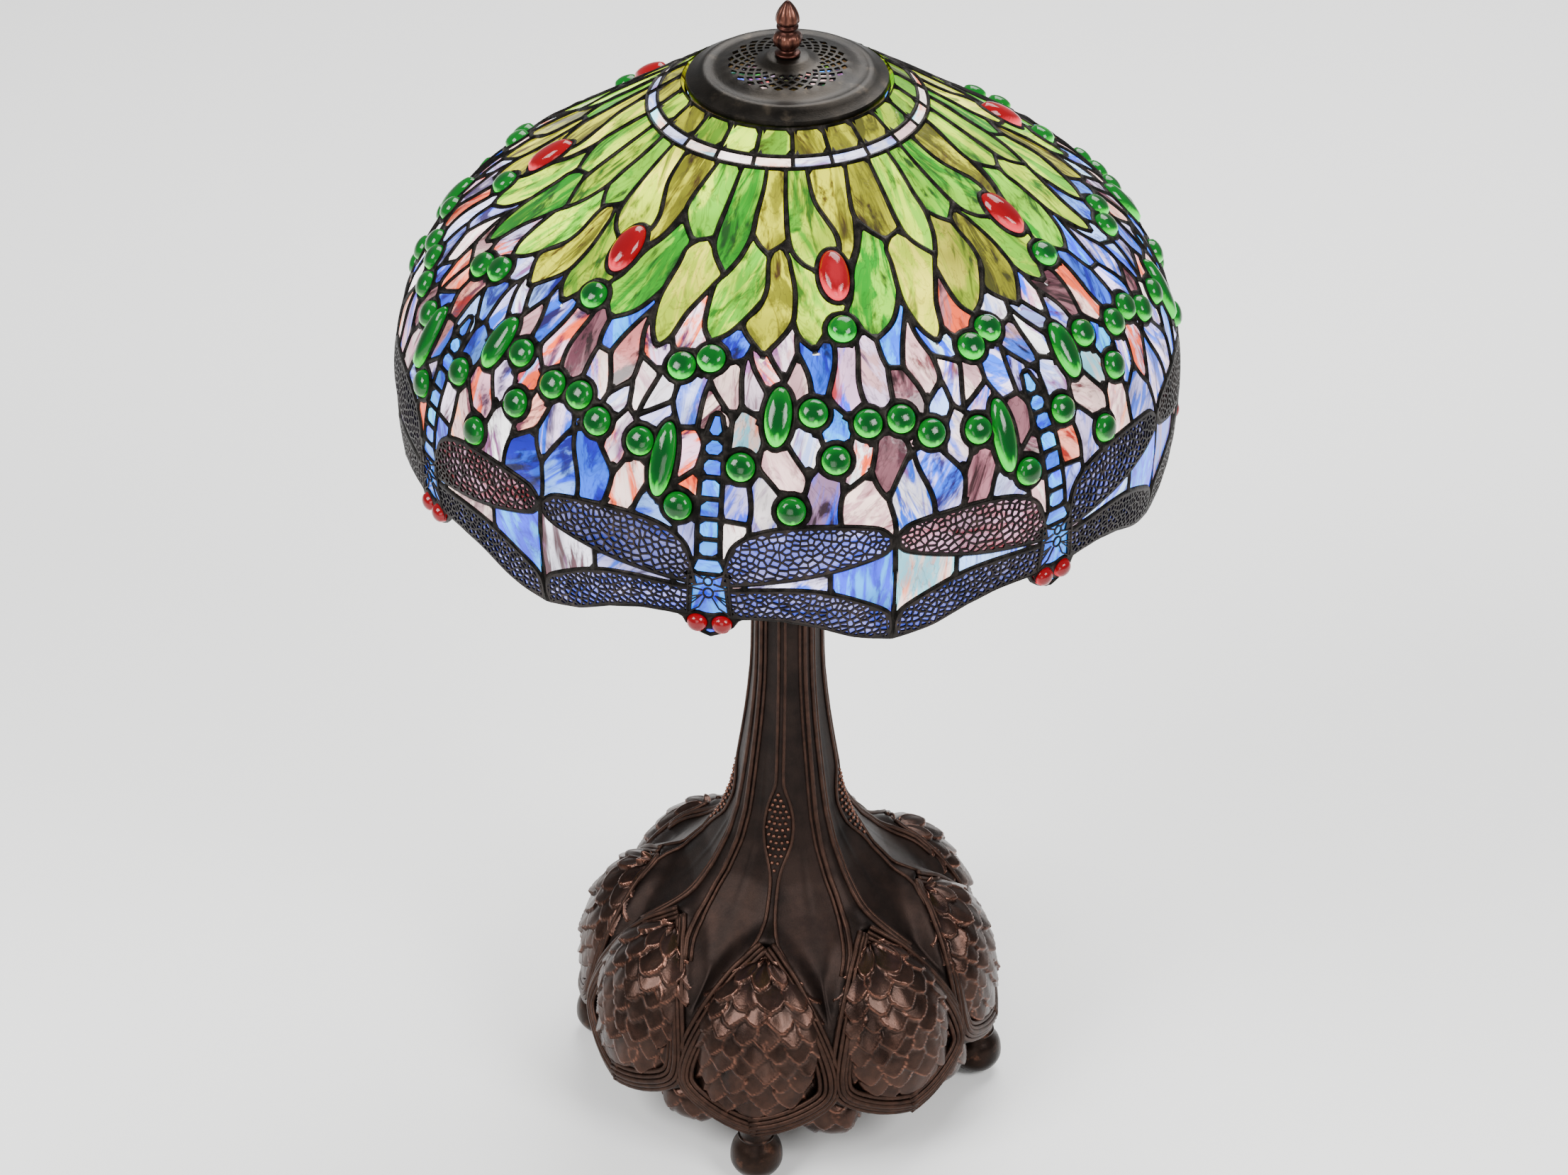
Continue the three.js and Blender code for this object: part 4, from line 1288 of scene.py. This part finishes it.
# Half the gap of the thick pair.
THICK_RIB = [(462, 3.4), (380, 3.6), (300, 4.0), (250, 4.8), (215, 5.8), (195, 6.6), (180, 7.4), (169, 9.8),
             (160, 15.0), (152, 21.0), (146, 26.0)]
# The cones: half their width, depth and height, the radius and height of their middles, and their lean.
CONE_COUNT, CONE_HALF, CONE_AT, CONE_LEAN = 8, (48.5, 34.0, 58.5), (109.0, 99.0), 14.0
CONE_STEP = 360 / CONE_COUNT
CONE_SCALES = (10, 19)  # rows of scales, and scales round the widest row
# The lumps that stand low between the cones.
LUMP_HALF, LUMP_AT, LUMP_LEAN, LUMP_SCALES = (21, 15, 17), (124, 50), 8, (3, 8)
# How worn the cords and the beads are, and a bead's radius in millimetres.
CORD_WORN, BEAD_WORN, BEAD_RADIUS = 0.16, 0.55, 1.35
# The cords of a frame: millimetres across it, and radius.
FRAME_CORDS = ((-6.2, 2.0), (-2.9, 1.7), (0.2, 2.1), (3.2, 1.7), (6.4, 1.9))
# The cords of the two kinds of rib: millimetres outside the gap, and radius.
THIN_CORDS, THICK_CORDS = ((0, 1.35),), ((-1.2, 1.9), (2.3, 1.3))


def bell_at(height):
    """The bell's radius at a height, both in millimetres."""
    return np.interp(height, [h for _, h in BELL], [r for r, _ in BELL])


def round_axis(degrees, radius, height):
    """Points in metres for angles from the front, radii and heights in degrees and millimetres."""
    angle = np.radians(degrees)
    return np.stack((radius * np.sin(angle), -radius * np.cos(angle), height + 0 * angle), axis=-1) * MM


def frame_line(step=3.0):
    """One side of a cone's frame as rows of (degrees, radius, height), smoothly from tip to foot."""
    return np.array(through(FRAME, step))


def bell_relief(degrees, height):
    """How far the bell stands off its plain turned shape, and a faint painted sheen on its petals, carried
    as wear.
    """
    off = np.abs((degrees + CONE_STEP / 2) % CONE_STEP - CONE_STEP / 2)
    radius = bell_at(height)
    line = frame_line(2.0)
    run = np.stack((line[:, 0] * math.pi / 180 * line[:, 1], line[:, 2] * 1.1), axis=1)
    here = np.stack((off * math.pi / 180 * np.maximum(radius, 90), height * 1.1), axis=-1)
    distance = np.linalg.norm(here[..., None, :] - run, axis=-1)
    nearest = distance.argmin(axis=-1)
    distance = distance.min(axis=-1)
    want = np.maximum(line[:, 1][nearest] - radius - 1.2, 0)
    band = want * np.exp(-(np.maximum(distance - 5.5, 0) / 5.0) ** 2) * np.clip((178 - height) / 12, 0, 1)
    petal = off / (CONE_STEP / 2)
    hollow = np.interp(height, [105, 130, 170, 210, 260, 350, 460], [0, 4.0, 5.0, 4.2, 2.6, 1.5, 1.1])
    low = -hollow * np.sin(petal * math.pi / 2) ** 1.5 + 0.35 * hollow
    # a soft fold runs down the middle of each petal
    fold = 0.9 * np.exp(-((1 - petal) / 0.1) ** 2) * np.interp(height, [150, 200, 300], [0, 0.6, 0])
    hold = np.exp(-(distance / 9) ** 2)
    relief = band + (low + fold) * (1 - hold)
    # a faint painted sheen across each petal's face at mid height, away from the frames
    worn = 0.04 * np.exp(-((petal - 0.62) / 0.3) ** 2)
    worn = worn * np.interp(height, [110, 135, 175, 215], [0.5, 1, 1, 0])
    return relief, worn * (1 - hold)


def bell_mesh(columns=432):
    """The cast bell: outside with its petals, and a plain inside."""
    heights = (np.arange(42, 180, 1.5), np.arange(180, 270, 2.2), np.arange(270, 467, 5.0), [467])
    heights = np.concatenate(heights)
    degrees = np.arange(columns) * 360 / columns
    grid_d, grid_h = np.meshgrid(degrees, heights)
    relief, worn = bell_relief(grid_d, grid_h)
    outside = round_axis(grid_d, bell_at(grid_h) + relief, grid_h)
    inner_d, inner_h = np.meshgrid(degrees, (460.0, 350.0, 260.0, 200.0, 160.0, 120.0, 80.0, 42.0))
    inside = round_axis(inner_d, bell_at(inner_h) - WALL, inner_h)
    points = np.concatenate((outside.reshape(-1, 3), inside.reshape(-1, 3)))
    faces = ring_faces(len(points) // columns, columns, closed=True)
    return points, faces, np.concatenate((worn.ravel(), np.zeros(inner_d.size)))


def cord_on(points, across, lift, radius, sides=7):
    """A cast cord that runs beside a line on the base, across millimetres to its right and lifted off it."""
    points = np.asarray(points)
    ahead = np.gradient(points, axis=0)
    ahead /= np.linalg.norm(ahead, axis=1)[:, None]
    out = points * (1, 1, 0)
    out /= np.linalg.norm(out, axis=1)[:, None]
    out = out - ahead * (out * ahead).sum(axis=1)[:, None]
    out /= np.linalg.norm(out, axis=1)[:, None]
    side = np.cross(ahead, out)
    centre = points + side * np.reshape(across, (-1, 1)) * MM + out * np.reshape(lift, (-1, 1)) * MM
    return tube(centre, radius * MM, sides)


def base_cords():
    """The cords of the frames and ribs over the whole base."""
    slab = Slab()
    line = frame_line(3.2)
    for side in (-1, 1):
        path = round_axis(side * line[:, 0], line[:, 1], line[:, 2])
        for k, (across, radius) in enumerate(FRAME_CORDS):
            sway = np.sin(np.linspace(0, 5, len(path)) + k) * 0.5
            slab.add(*cord_on(path, across * side + sway, 1.3 - 0.045 * across * across, radius))
    whole = Slab()
    whole.add(*turned_copies(slab.all_points(), slab.faces, CONE_COUNT, CONE_STEP))
    for gaps, start, cords in ((THIN_RIB, 0, THIN_CORDS), (THICK_RIB, CONE_STEP, THICK_CORDS)):
        ribs = Slab()
        smooth = np.array(through(gaps, 4.0))
        height, gap = smooth[:, 0], smooth[:, 1]
        radius = bell_at(height)
        for side in (-1, 1):
            for extra, thick in cords:
                degrees = side * np.degrees((gap + extra) / radius)
                relief, _ = bell_relief(start + degrees, height)
                path = round_axis(start + degrees, radius + relief, height)
                size = thick * np.interp(height, [150, 200, 460], [1.25, 1.0, 0.85])
                ribs.add(*cord_on(path, np.zeros(len(path)), np.full(len(path), 0.3), size))
        whole.add(*turned_copies(ribs.all_points(), ribs.faces, 4, 90))
    return whole


def small_balls(places, radius):
    """Small beads of few faces at places in metres."""
    ball = bmesh.new()
    bmesh.ops.create_icosphere(ball, subdivisions=2, radius=radius)
    points = np.array([v.co[:] for v in ball.verts])
    faces = [tuple(v.index for v in face.verts) for face in ball.faces]
    ball.free()
    slab = Slab()
    for place in places:
        slab.add(points + place, faces)
    return slab


def panel_beads():
    """Places of the raised beads inside one opening of the thin ribs."""
    places = []
    smooth = np.array(through(THIN_RIB, 2.0))[::-1]
    for row, height in enumerate(np.arange(200, 258, 4.3)):
        gap = float(np.interp(height, smooth[:, 0], smooth[:, 1])) - 2.2
        spots = np.arange(-8, 9, 3.7) + (1.85 if row % 2 else 0)
        for x in spots[np.abs(spots) <= max(gap, 0.4)]:
            radius = float(bell_at(height))
            degrees = math.degrees(x / radius)
            relief, _ = bell_relief(np.array([degrees]), np.array([height]))
            places.append(round_axis(np.array([degrees]), radius + relief + 0.4, np.array([height]))[0])
    return places


def scaled_lump(half, rows, around, seed, columns=190, steps=130):
    """A lump under overlapping scales, its long axis upright: points, faces and each point's wear."""
    dice = np.random.default_rng(seed)
    wide, deep, tall = half
    turn = np.linspace(0, 2 * math.pi, columns, endpoint=False)
    fall = np.linspace(0.02, math.pi - 0.02, steps)
    grid_t, grid_f = np.meshgrid(turn, fall)
    # places measured in scale widths: across runs round the lump, down runs along it
    down = (1 - np.cos(grid_f)) / 2 * rows
    height = np.zeros_like(down) - 1.0
    edge = np.zeros_like(down)
    for row in range(-1, rows + 1):
        share = min(max((row + 0.6) / rows, 0.12), 0.9)
        count = max(5, round(around * math.sin(math.pi * share) ** 0.6))
        for k in range(count):
            at = 2 * math.pi * (k + 0.5 * (row % 2) + dice.normal(0, 0.06)) / count
            low = row + 0.35 + dice.normal(0, 0.08)
            big, glint = dice.uniform(0.92, 1.16), dice.uniform(0.1, 0.9)
            lean_x, lean_y = dice.normal(0, 0.75), dice.normal(0, 0.3)
            x = ((grid_t - at + math.pi) % (2 * math.pi) - math.pi) * count / (2 * math.pi) * 1.02
            y = down - low
            distance = (np.abs(x * 1.2) ** 1.45 + np.abs(y * 0.84) ** 1.45) ** (1 / 1.45) / big
            tilt = dice.uniform(0.85, 1.2)
            ridge = 0.5 * np.maximum(0.35 - np.abs(x), 0)
            tall_here = tilt * (0.9 + (1.2 + lean_y) * y) + lean_x * x + ridge
            tall_here = tall_here + 0.16 * np.exp(-((distance - 0.7) / 0.06) ** 2)
            seen = (distance < 0.78) & (tall_here > height)
            height = np.where(seen, tall_here, height)
            edge = np.where(seen, glint * np.exp(-((distance - 0.73) / 0.035) ** 2), edge)
    full = np.where(grid_f > math.pi / 2, np.sin(grid_f) ** 0.62, np.sin(grid_f) ** 1.3)
    broad = np.where(grid_f > math.pi / 2, np.sin(grid_f) ** 0.4, full)
    shape = (wide * broad * np.sin(grid_t), -deep * full * np.cos(grid_t), tall * np.cos(grid_f))
    shape = np.stack(shape, axis=-1)
    out = shape / np.array((wide ** 2, deep ** 2, tall ** 2))
    out /= np.linalg.norm(out, axis=-1)[..., None]
    calm = np.clip(np.sin(grid_f) * 3, 0, 1) * (1 - 0.45 * np.abs(np.sin(grid_t)) ** 6)
    shape = shape + out * (height * 2.1 * calm)[..., None]
    faces = ring_faces(steps, columns) + [face[::-1] for face in end_faces(steps, columns)]
    return shape.reshape(-1, 3) * MM, faces, np.clip(0.7 * edge + 0.05 * height, 0, 1).ravel()


def set_out(points, degrees, radius, height, lean):
    """Carries a lump to its place on the base, its top leant in towards the lamp's axis."""
    lean = math.radians(lean)
    spot = np.array(points)
    y = spot[:, 1] * math.cos(lean) + spot[:, 2] * math.sin(lean)
    z = -spot[:, 1] * math.sin(lean) + spot[:, 2] * math.cos(lean)
    spot = np.stack((spot[:, 0], y - radius * MM, z + height * MM), axis=1)
    return spot @ turn_about(degrees).T


class BuildBase(bpy.types.Operator):
    """Casts the bell, its frames and cords, the cones and the lumps between them."""

    bl_idname = "lamp.build_base"
    bl_label = "Cast base"

    def execute(self, context):
        smooth, scaled = base_bronze()
        bell = cast_piece("base_bell", *bell_mesh())
        cords = base_cords()
        ribs = cast_piece("base_cords", cords.all_points(), cords.faces, CORD_WORN)
        beads = small_balls(panel_beads(), BEAD_RADIUS * MM)
        beads = turned_copies(beads.all_points(), beads.faces, 4, 90)
        made = [bell, ribs, cast_piece("base_beads", *beads, BEAD_WORN)]
        for k in range(CONE_COUNT):
            shape, faces, worn = scaled_lump(CONE_HALF, *CONE_SCALES, 50 + k)
            shape = set_out(shape, CONE_STEP * k, *CONE_AT, CONE_LEAN)
            made.append(cast_piece(f"cone_{k + 1}", shape, faces, worn))
        lumps, wear = Slab(), []
        for k in range(CONE_COUNT):
            shape, faces, worn = scaled_lump(LUMP_HALF, *LUMP_SCALES, 70 + k, 70, 50)
            lumps.add(set_out(shape, CONE_STEP * (k + 0.5), *LUMP_AT, LUMP_LEAN), faces)
            wear.append(worn)
        made.append(cast_piece("base_lumps", lumps.all_points(), lumps.faces, np.concatenate(wear)))
        for one in made:
            one.data.materials.append(smooth if one in (bell, ribs) else scaled)
            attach(one, "base")
        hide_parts("base_casting")
        return {"FINISHED"}


# ---------------------------------------------------------------- turned and small pieces


def spun(name, profile, steps):
    """Turns a profile of (radius, height) in millimetres about the lamp's axis."""
    bpy.ops.object.select_all(action="DESELECT")
    bpy.ops.mesh.primitive_plane_add(size=MM)
    made = bpy.context.object
    made.name = name
    bpy.ops.object.mode_set(mode="EDIT")
    bpy.ops.mesh.select_all(action="SELECT")
    bpy.ops.mesh.merge(type="CENTER")
    bpy.ops.transform.translate(value=(profile[0][0] * MM, 0, profile[0][1] * MM))
    for (r0, z0), (r1, z1) in zip(profile, profile[1:]):
        step = ((r1 - r0) * MM, 0, (z1 - z0) * MM)
        bpy.ops.mesh.extrude_region_move(TRANSFORM_OT_translate={"value": step})
    bpy.ops.mesh.select_all(action="SELECT")
    bpy.ops.mesh.spin(steps=steps, angle=2 * math.pi, center=(0, 0, 0), axis=(0, 0, 1))
    bpy.ops.mesh.select_all(action="SELECT")
    bpy.ops.mesh.remove_doubles(threshold=0.00001)
    bpy.ops.mesh.normals_make_consistent(inside=False)
    bpy.ops.object.mode_set(mode="OBJECT")
    smoothed(made, 35)
    return made


def rounded(profile, step=1.2):
    """A profile smoothed through its points."""
    return [tuple(p) for p in through(profile, step)]


def placed(made, matrix):
    """Moves a finished piece to its place and keeps the place in its mesh."""
    bpy.ops.object.select_all(action="DESELECT")
    made.select_set(True)
    bpy.context.view_layer.objects.active = made
    made.matrix_world = matrix
    bpy.ops.object.transform_apply(location=True, rotation=True, scale=True)


def socket_place(number):
    """Where a socket stands: its root on the lamp's cluster, and its axis up and out."""
    angle = math.radians(SOCKET_TURN + 120 * (number - 1))
    root = Vector((46 * math.sin(angle), -46 * math.cos(angle), 560)) * MM
    tilt = Matrix.Rotation(angle, 4, "Z") @ Matrix.Rotation(math.radians(45), 4, "X")
    return Matrix.Translation(root) @ tilt


# The vent cap's outside from its hole to its rim, and the rings of its piercings with how many each has.
CAP = [(3.6, 793.2), (12.2, 793.2), (14, 792.6), (17, 790.2), (20, 789.4), (38, 787.4), (41, 786.2),
       (44, 785.0), (47, 784.6), (50, 784.9), (52, 785.2), (54, 784.6), (56.5, 782.6), (60, 780.6),
       (62.6, 779.3), (63.4, 778.2), (63.2, 777.2)]
CAP_RINGS = ((21.8, 24), (25.0, 24), (28.4, 24), (31.9, 24), (35.4, 24))
CAP_SHEET = 1.3


def cap_height(radius):
    """The cap's height at a radius, both in millimetres."""
    return np.interp(radius, [r for r, _ in CAP], [z for _, z in CAP])


def cap_mesh():
    """The vent cap: a thin dished disc pierced with rings of small diamonds."""
    holes = []
    for k, (radius, count) in enumerate(CAP_RINGS):
        wide, tall = 0.36 * 2 * math.pi * radius / count, 2.15
        for i in range(count):
            angle = 2 * math.pi * (i + 0.5 * (k % 2)) / count
            hole = []
            for j in range(12):
                turn = 2 * math.pi * j / 12
                a, b = math.cos(turn), math.sin(turn)
                soft = (abs(a) + abs(b)) ** -0.75
                x, y = a * soft * wide, b * soft * tall
                hole.append(((radius + y) * math.sin(angle) + x * math.cos(angle),
                             (radius + y) * math.cos(angle) - x * math.sin(angle)))
            holes.append(hole)
    circle = [2 * math.pi * i / 144 for i in range(144)]
    rims = [[(r * math.cos(a), r * math.sin(a)) for a in circle] for r in (63.4, 3.6)]
    plain = [r for r, _ in CAP[1:-1] if r < 18.5 or r > 38.5]
    loose = [(r * math.cos(a), r * math.sin(a)) for r in plain for a in circle]
    flat, triangles, inside = arranged([*rims, *holes], loose)
    solid = [tuple(t) for t, faces in zip(triangles, inside) if list(faces) == [0]]
    flat, solid = kept_only(flat, solid)
    high = cap_height(np.hypot(flat[:, 0], flat[:, 1]))
    count = len(flat)
    points = np.concatenate((np.column_stack((flat, high)), np.column_stack((flat, high - CAP_SHEET)))) * MM
    faces = solid + [(c + count, b + count, a + count) for a, b, c in solid]
    return points, faces + [face[::-1] for face in walls(solid, count)]


# The finial's profile from its foot to its point: radius and height in millimetres.
FINIAL = [(5.2, 793.4), (7.6, 793.9), (7.9, 795.4), (5.6, 796.6), (5.0, 797.8), (6.6, 799.4), (8.3, 802.2),
          (8.7, 804.8), (7.9, 807.6), (6.0, 809.6), (5.4, 810.8), (6.7, 812.0), (6.9, 813.2), (5.8, 814.4),
          (6.9, 816.4), (7.3, 818.6), (6.6, 821.6), (4.9, 825.0), (2.6, 828.4), (0.9, 830.0)]


def finial_mesh(columns=96):
    """The finial: a leafy knob, a ringed neck and a pointed, ribbed bud."""
    profile = np.array(rounded(FINIAL, 0.5))
    turn = 2 * math.pi * np.arange(columns) / columns
    radius, height = profile[:, 0][:, None], profile[:, 1][:, None]
    knob = np.exp(-((height - 804) / 4.4) ** 4)
    leaf = np.abs(np.sin(3 * turn))[None]
    reach = radius + knob * (0.75 * leaf ** 0.6 - 0.35 + 0.22 * np.cos(24 * turn)[None])
    bud = np.clip((height - 815) / 2, 0, 1) * np.clip((830.5 - height) / 6, 0, 1)
    reach = reach + bud * (0.42 * np.abs(np.cos(5 * turn))[None] - 0.2)
    collar = np.exp(-((height - 816.2) / 1.3) ** 2)
    reach = reach + collar * 0.5 * np.abs(np.cos(4 * turn))[None]
    points = np.stack((reach * np.cos(turn), reach * np.sin(turn), height + 0 * reach), axis=-1)
    worn = (knob * leaf + bud * np.abs(np.cos(5 * turn))[None]).ravel() * 0.5
    faces = ring_faces(len(profile), columns) + end_faces(len(profile), columns)
    return points.reshape(-1, 3) * MM, faces, worn


class BuildTop(bpy.types.Operator):
    """Makes the pierced vent cap and the finial."""

    bl_idname = "lamp.build_top"
    bl_label = "Vent cap and finial"

    def execute(self, context):
        dark = cast_metal("antique_bronze", (0.006, 0.005, 0.004), (0.022, 0.018, 0.014), (0.09, 0.07, 0.05),
                          0.3, edge=False)
        cap = mesh_object("pierced_cap", *cap_mesh())
        cap.data.materials.append(dark)
        outward(cap)
        smoothed(cap, 40)
        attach(cap, "vent_cap")
        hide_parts("vent_cap")
        bud = cast_piece("leafy_finial", *finial_mesh())
        bud.data.materials.append(cast_metal("finial_bronze", (0.014, 0.005, 0.004), (0.06, 0.02, 0.014),
                                             (0.3, 0.12, 0.08), 0.3))
        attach(bud, "finial")
        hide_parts("finial")
        return {"FINISHED"}


FOOT_RADIUS = 136.0  # from the lamp's axis to a foot's


class BuildFeet(bpy.types.Operator):
    """Turns the four ball feet with their necks."""

    bl_idname = "lamp.build_feet"
    bl_label = "Ball feet"

    def execute(self, context):
        metal = cast_metal("foot_bronze", (0.008, 0.005, 0.004), (0.03, 0.016, 0.011), (0.2, 0.085, 0.05),
                           0.3, edge=False)
        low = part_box("foot_front")[0][2] / MM
        profile = [(0.0, low), (7.2, low)]
        profile += rounded([(7.2, low), (13.5, 5.0), (17.6, 11.5), (18.1, 18.5), (16.6, 25.5), (13.4, 30.6),
                            (11.9, 33.0)])
        profile += [(12.6, 33.8), (12.7, 35.0)]
        profile += rounded([(11.6, 35.8), (11.5, 40), (12.2, 45), (13.2, 50), (14, 54)])
        profile.append((0.0, 55))
        for name, degrees in (("front", 0), ("right", 90), ("back", 180), ("left", 270)):
            foot = spun(f"ball_foot_{name}", profile, 48)
            spot = round_axis(np.array(float(degrees)), FOOT_RADIUS, np.array(0.0))
            placed(foot, Matrix.Translation(Vector(spot)))
            foot.data.materials.append(metal)
            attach(foot, "base")
            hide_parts(f"foot_{name}")
        return {"FINISHED"}


BEAD_STEP = 0.0031  # from bead to bead of a chain, in metres


class BuildFittings(bpy.types.Operator):
    """Makes the bulbs and chains, and finishes the sockets and the other metalwork inside."""

    bl_idname = "lamp.build_fittings"
    bl_label = "Fittings"

    def execute(self, context):
        brass = turned_metal("aged_brass", (0.09, 0.05, 0.016), (0.36, 0.22, 0.08), 0.28)
        steel = turned_metal("plated_steel", (0.16, 0.15, 0.14), (0.46, 0.45, 0.43), 0.25)
        dark = turned_metal("dark_bronze", (0.012, 0.008, 0.006), (0.06, 0.035, 0.022), 0.34)
        nap, plastic, lamp = felt(), moulded_plastic(), frosted_bulb()
        finishes = {
            "foot_pad": nap, "cord_bushing": plastic, "bulb_base": steel, "socket": brass,
            "cluster_nut": brass, "spider": brass, "shade_spider": brass, "shade_ring": brass,
            "finial_stud": brass, "lower": steel, "center_pipe": steel, "pull_chain": brass, "bulb": lamp,
        }
        for name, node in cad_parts.items():
            kind = next((key for key in finishes if name.startswith(key)), None)
            node.data.materials.clear()
            node.data.materials.append(finishes[kind] if kind else dark)
        for number in (1, 2, 3):
            place = socket_place(number)
            glass = [(0.0, 48.6), (12.4, 48.6), (13.2, 49.4)]
            glass += rounded([(13.4, 51), (14.4, 60), (18.5, 72), (25.5, 86), (29.6, 99), (29.4, 108),
                              (25.4, 119), (17.6, 127.2), (8.5, 130.8), (0.0, 131.3)], 3)
            bulb = spun(f"frosted_bulb_{number}", glass, 48)
            placed(bulb, place)
            bulb.data.materials.append(lamp)
            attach(bulb, f"bulb_{number}")
            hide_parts(f"bulb_{number}")
            self.chain(number, brass)
        return {"FINISHED"}

    @staticmethod
    def chain(number, metal):
        """A beaded pull chain with its bell."""
        low, high = (Vector(corner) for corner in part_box(f"pull_chain_{number}"))
        centre = (low + high) / 2
        profile = [(0.0, 0.4), (3.1, 0.0), (4.0, 0.6)]
        profile += rounded([(4.0, 1.2), (3.6, 5), (2.5, 10), (2.1, 14.4), (1.1, 16.2)], 1.5) + [(0.0, 16.4)]
        bell = spun(f"chain_bell_{number}", profile, 24)
        placed(bell, Matrix.Translation((centre.x, centre.y, low.z)))
        places = [(centre.x, centre.y, z) for z in np.arange(low.z + 0.0175, high.z - 0.001, BEAD_STEP)]
        beads = small_balls(places, 1.25 * MM)
        beads.add(*tube([places[0], places[-1]], 0.4 * MM, 6))
        links = mesh_object(f"bead_chain_{number}", beads.all_points(), beads.faces)
        for made in (bell, links):
            made.data.materials.append(metal)
            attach(made, f"pull_chain_{number}")
        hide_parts(f"pull_chain_{number}")


# ---------------------------------------------------------------- floor, light and camera


# Each soft light: its place and its side in metres, and its power in watts. All of them face LIT.
LIGHTS = (((-1.7, -1.6, 2.5), 1.5, 120), ((2.0, -1.3, 2.2), 1.2, 80), ((0.3, 1.6, 2.7), 2.0, 130),
          ((0.1, -2.7, 1.0), 1.2, 16))
LIT = Vector((0, 0, 0.35))
# The camera: sensor and lens in millimetres, shift, then degrees round from the front and down, and metres.
VIEW_SENSOR, VIEW_LENS, VIEW_SHIFT = 36.0, 96.87, -0.00226
VIEW_ROUND, VIEW_DOWN, VIEW_AWAY, VIEW_HEIGHT = 9.1, 33.873, 2.3412, 1.9694


class BuildStage(bpy.types.Operator):
    """Sets the floor, the soft lights and the camera."""

    bl_idname = "lamp.build_stage"
    bl_label = "Stage"

    def execute(self, context):
        colours = context.scene.lamp_colours
        f = Finish("pale_floor")
        grain = f.noise(f.place(), 40, 3, 0.5)
        tint = tuple(colours.floor)
        shaded = tuple(part * 0.985 for part in tint)
        paper = f.paint(Base_Color=f.mix(grain, tint, shaded), Roughness=0.7 + 0.1 * grain)
        bpy.ops.object.select_all(action="DESELECT")
        bpy.ops.mesh.primitive_plane_add(size=16)
        floor = context.object
        floor.name = "floor"
        floor.data.materials.append(paper)
        world = bpy.data.worlds.new("soft_room")
        context.scene.world = world
        world.use_nodes = True
        ground = world.node_tree.nodes["Background"]
        ground.inputs["Color"].default_value = (1.0, 1.0, 1.0, 1.0)
        ground.inputs["Strength"].default_value = 0.4
        for i, (place, size, power) in enumerate(LIGHTS):
            light = bpy.data.lights.new(f"soft_light_{i + 1}", "AREA")
            light.size, light.energy = size, power
            made = bpy.data.objects.new(light.name, light)
            made.location = place
            made.rotation_euler = (LIT - Vector(place)).to_track_quat("-Z", "Y").to_euler()
            context.scene.collection.objects.link(made)
        view = bpy.data.cameras.new("camera")
        view.sensor_width, view.lens, view.shift_x = VIEW_SENSOR, VIEW_LENS, VIEW_SHIFT
        camera = bpy.data.objects.new("camera", view)
        round_by = math.radians(VIEW_ROUND)
        camera.location = (VIEW_AWAY * math.sin(round_by), -VIEW_AWAY * math.cos(round_by), VIEW_HEIGHT)
        camera.rotation_euler = (math.radians(90 - VIEW_DOWN), 0, round_by)
        context.scene.collection.objects.link(camera)
        context.scene.camera = camera
        return {"FINISHED"}


class LampPanel(bpy.types.Panel):
    """Lists the lamp's sizes, colours and builders."""

    bl_idname = "VIEW3D_PT_lamp"
    bl_label = "Dragonfly table lamp"
    bl_space_type = "VIEW_3D"
    bl_region_type = "UI"
    bl_category = "Lamp"

    def draw(self, context):
        for group in (context.scene.lamp_sizes, context.scene.lamp_colours):
            for name in group.__annotations__:
                self.layout.prop(group, name)
        for builder in BUILDERS:
            self.layout.operator(builder.bl_idname)


BUILDERS = (BuildFittings, BuildShade, BuildStones, BuildFiligree, BuildTop, BuildBase, BuildFeet,
            BuildStage)


def register():
    for one in (LampSizes, LampColours, *BUILDERS, LampPanel):
        bpy.utils.register_class(one)
    bpy.types.Scene.lamp_sizes = bpy.props.PointerProperty(type=LampSizes)
    bpy.types.Scene.lamp_colours = bpy.props.PointerProperty(type=LampColours)


def unregister():
    del bpy.types.Scene.lamp_colours, bpy.types.Scene.lamp_sizes
    for one in (LampPanel, *reversed(BUILDERS), LampColours, LampSizes):
        bpy.utils.unregister_class(one)


def main():
    register()
    for builder in BUILDERS:
        group, name = builder.bl_idname.split(".")
        if getattr(getattr(bpy.ops, group), name)() != {"FINISHED"}:
            raise RuntimeError(f"{builder.bl_label} wasn't finished")


if __name__ == "__main__":
    main()
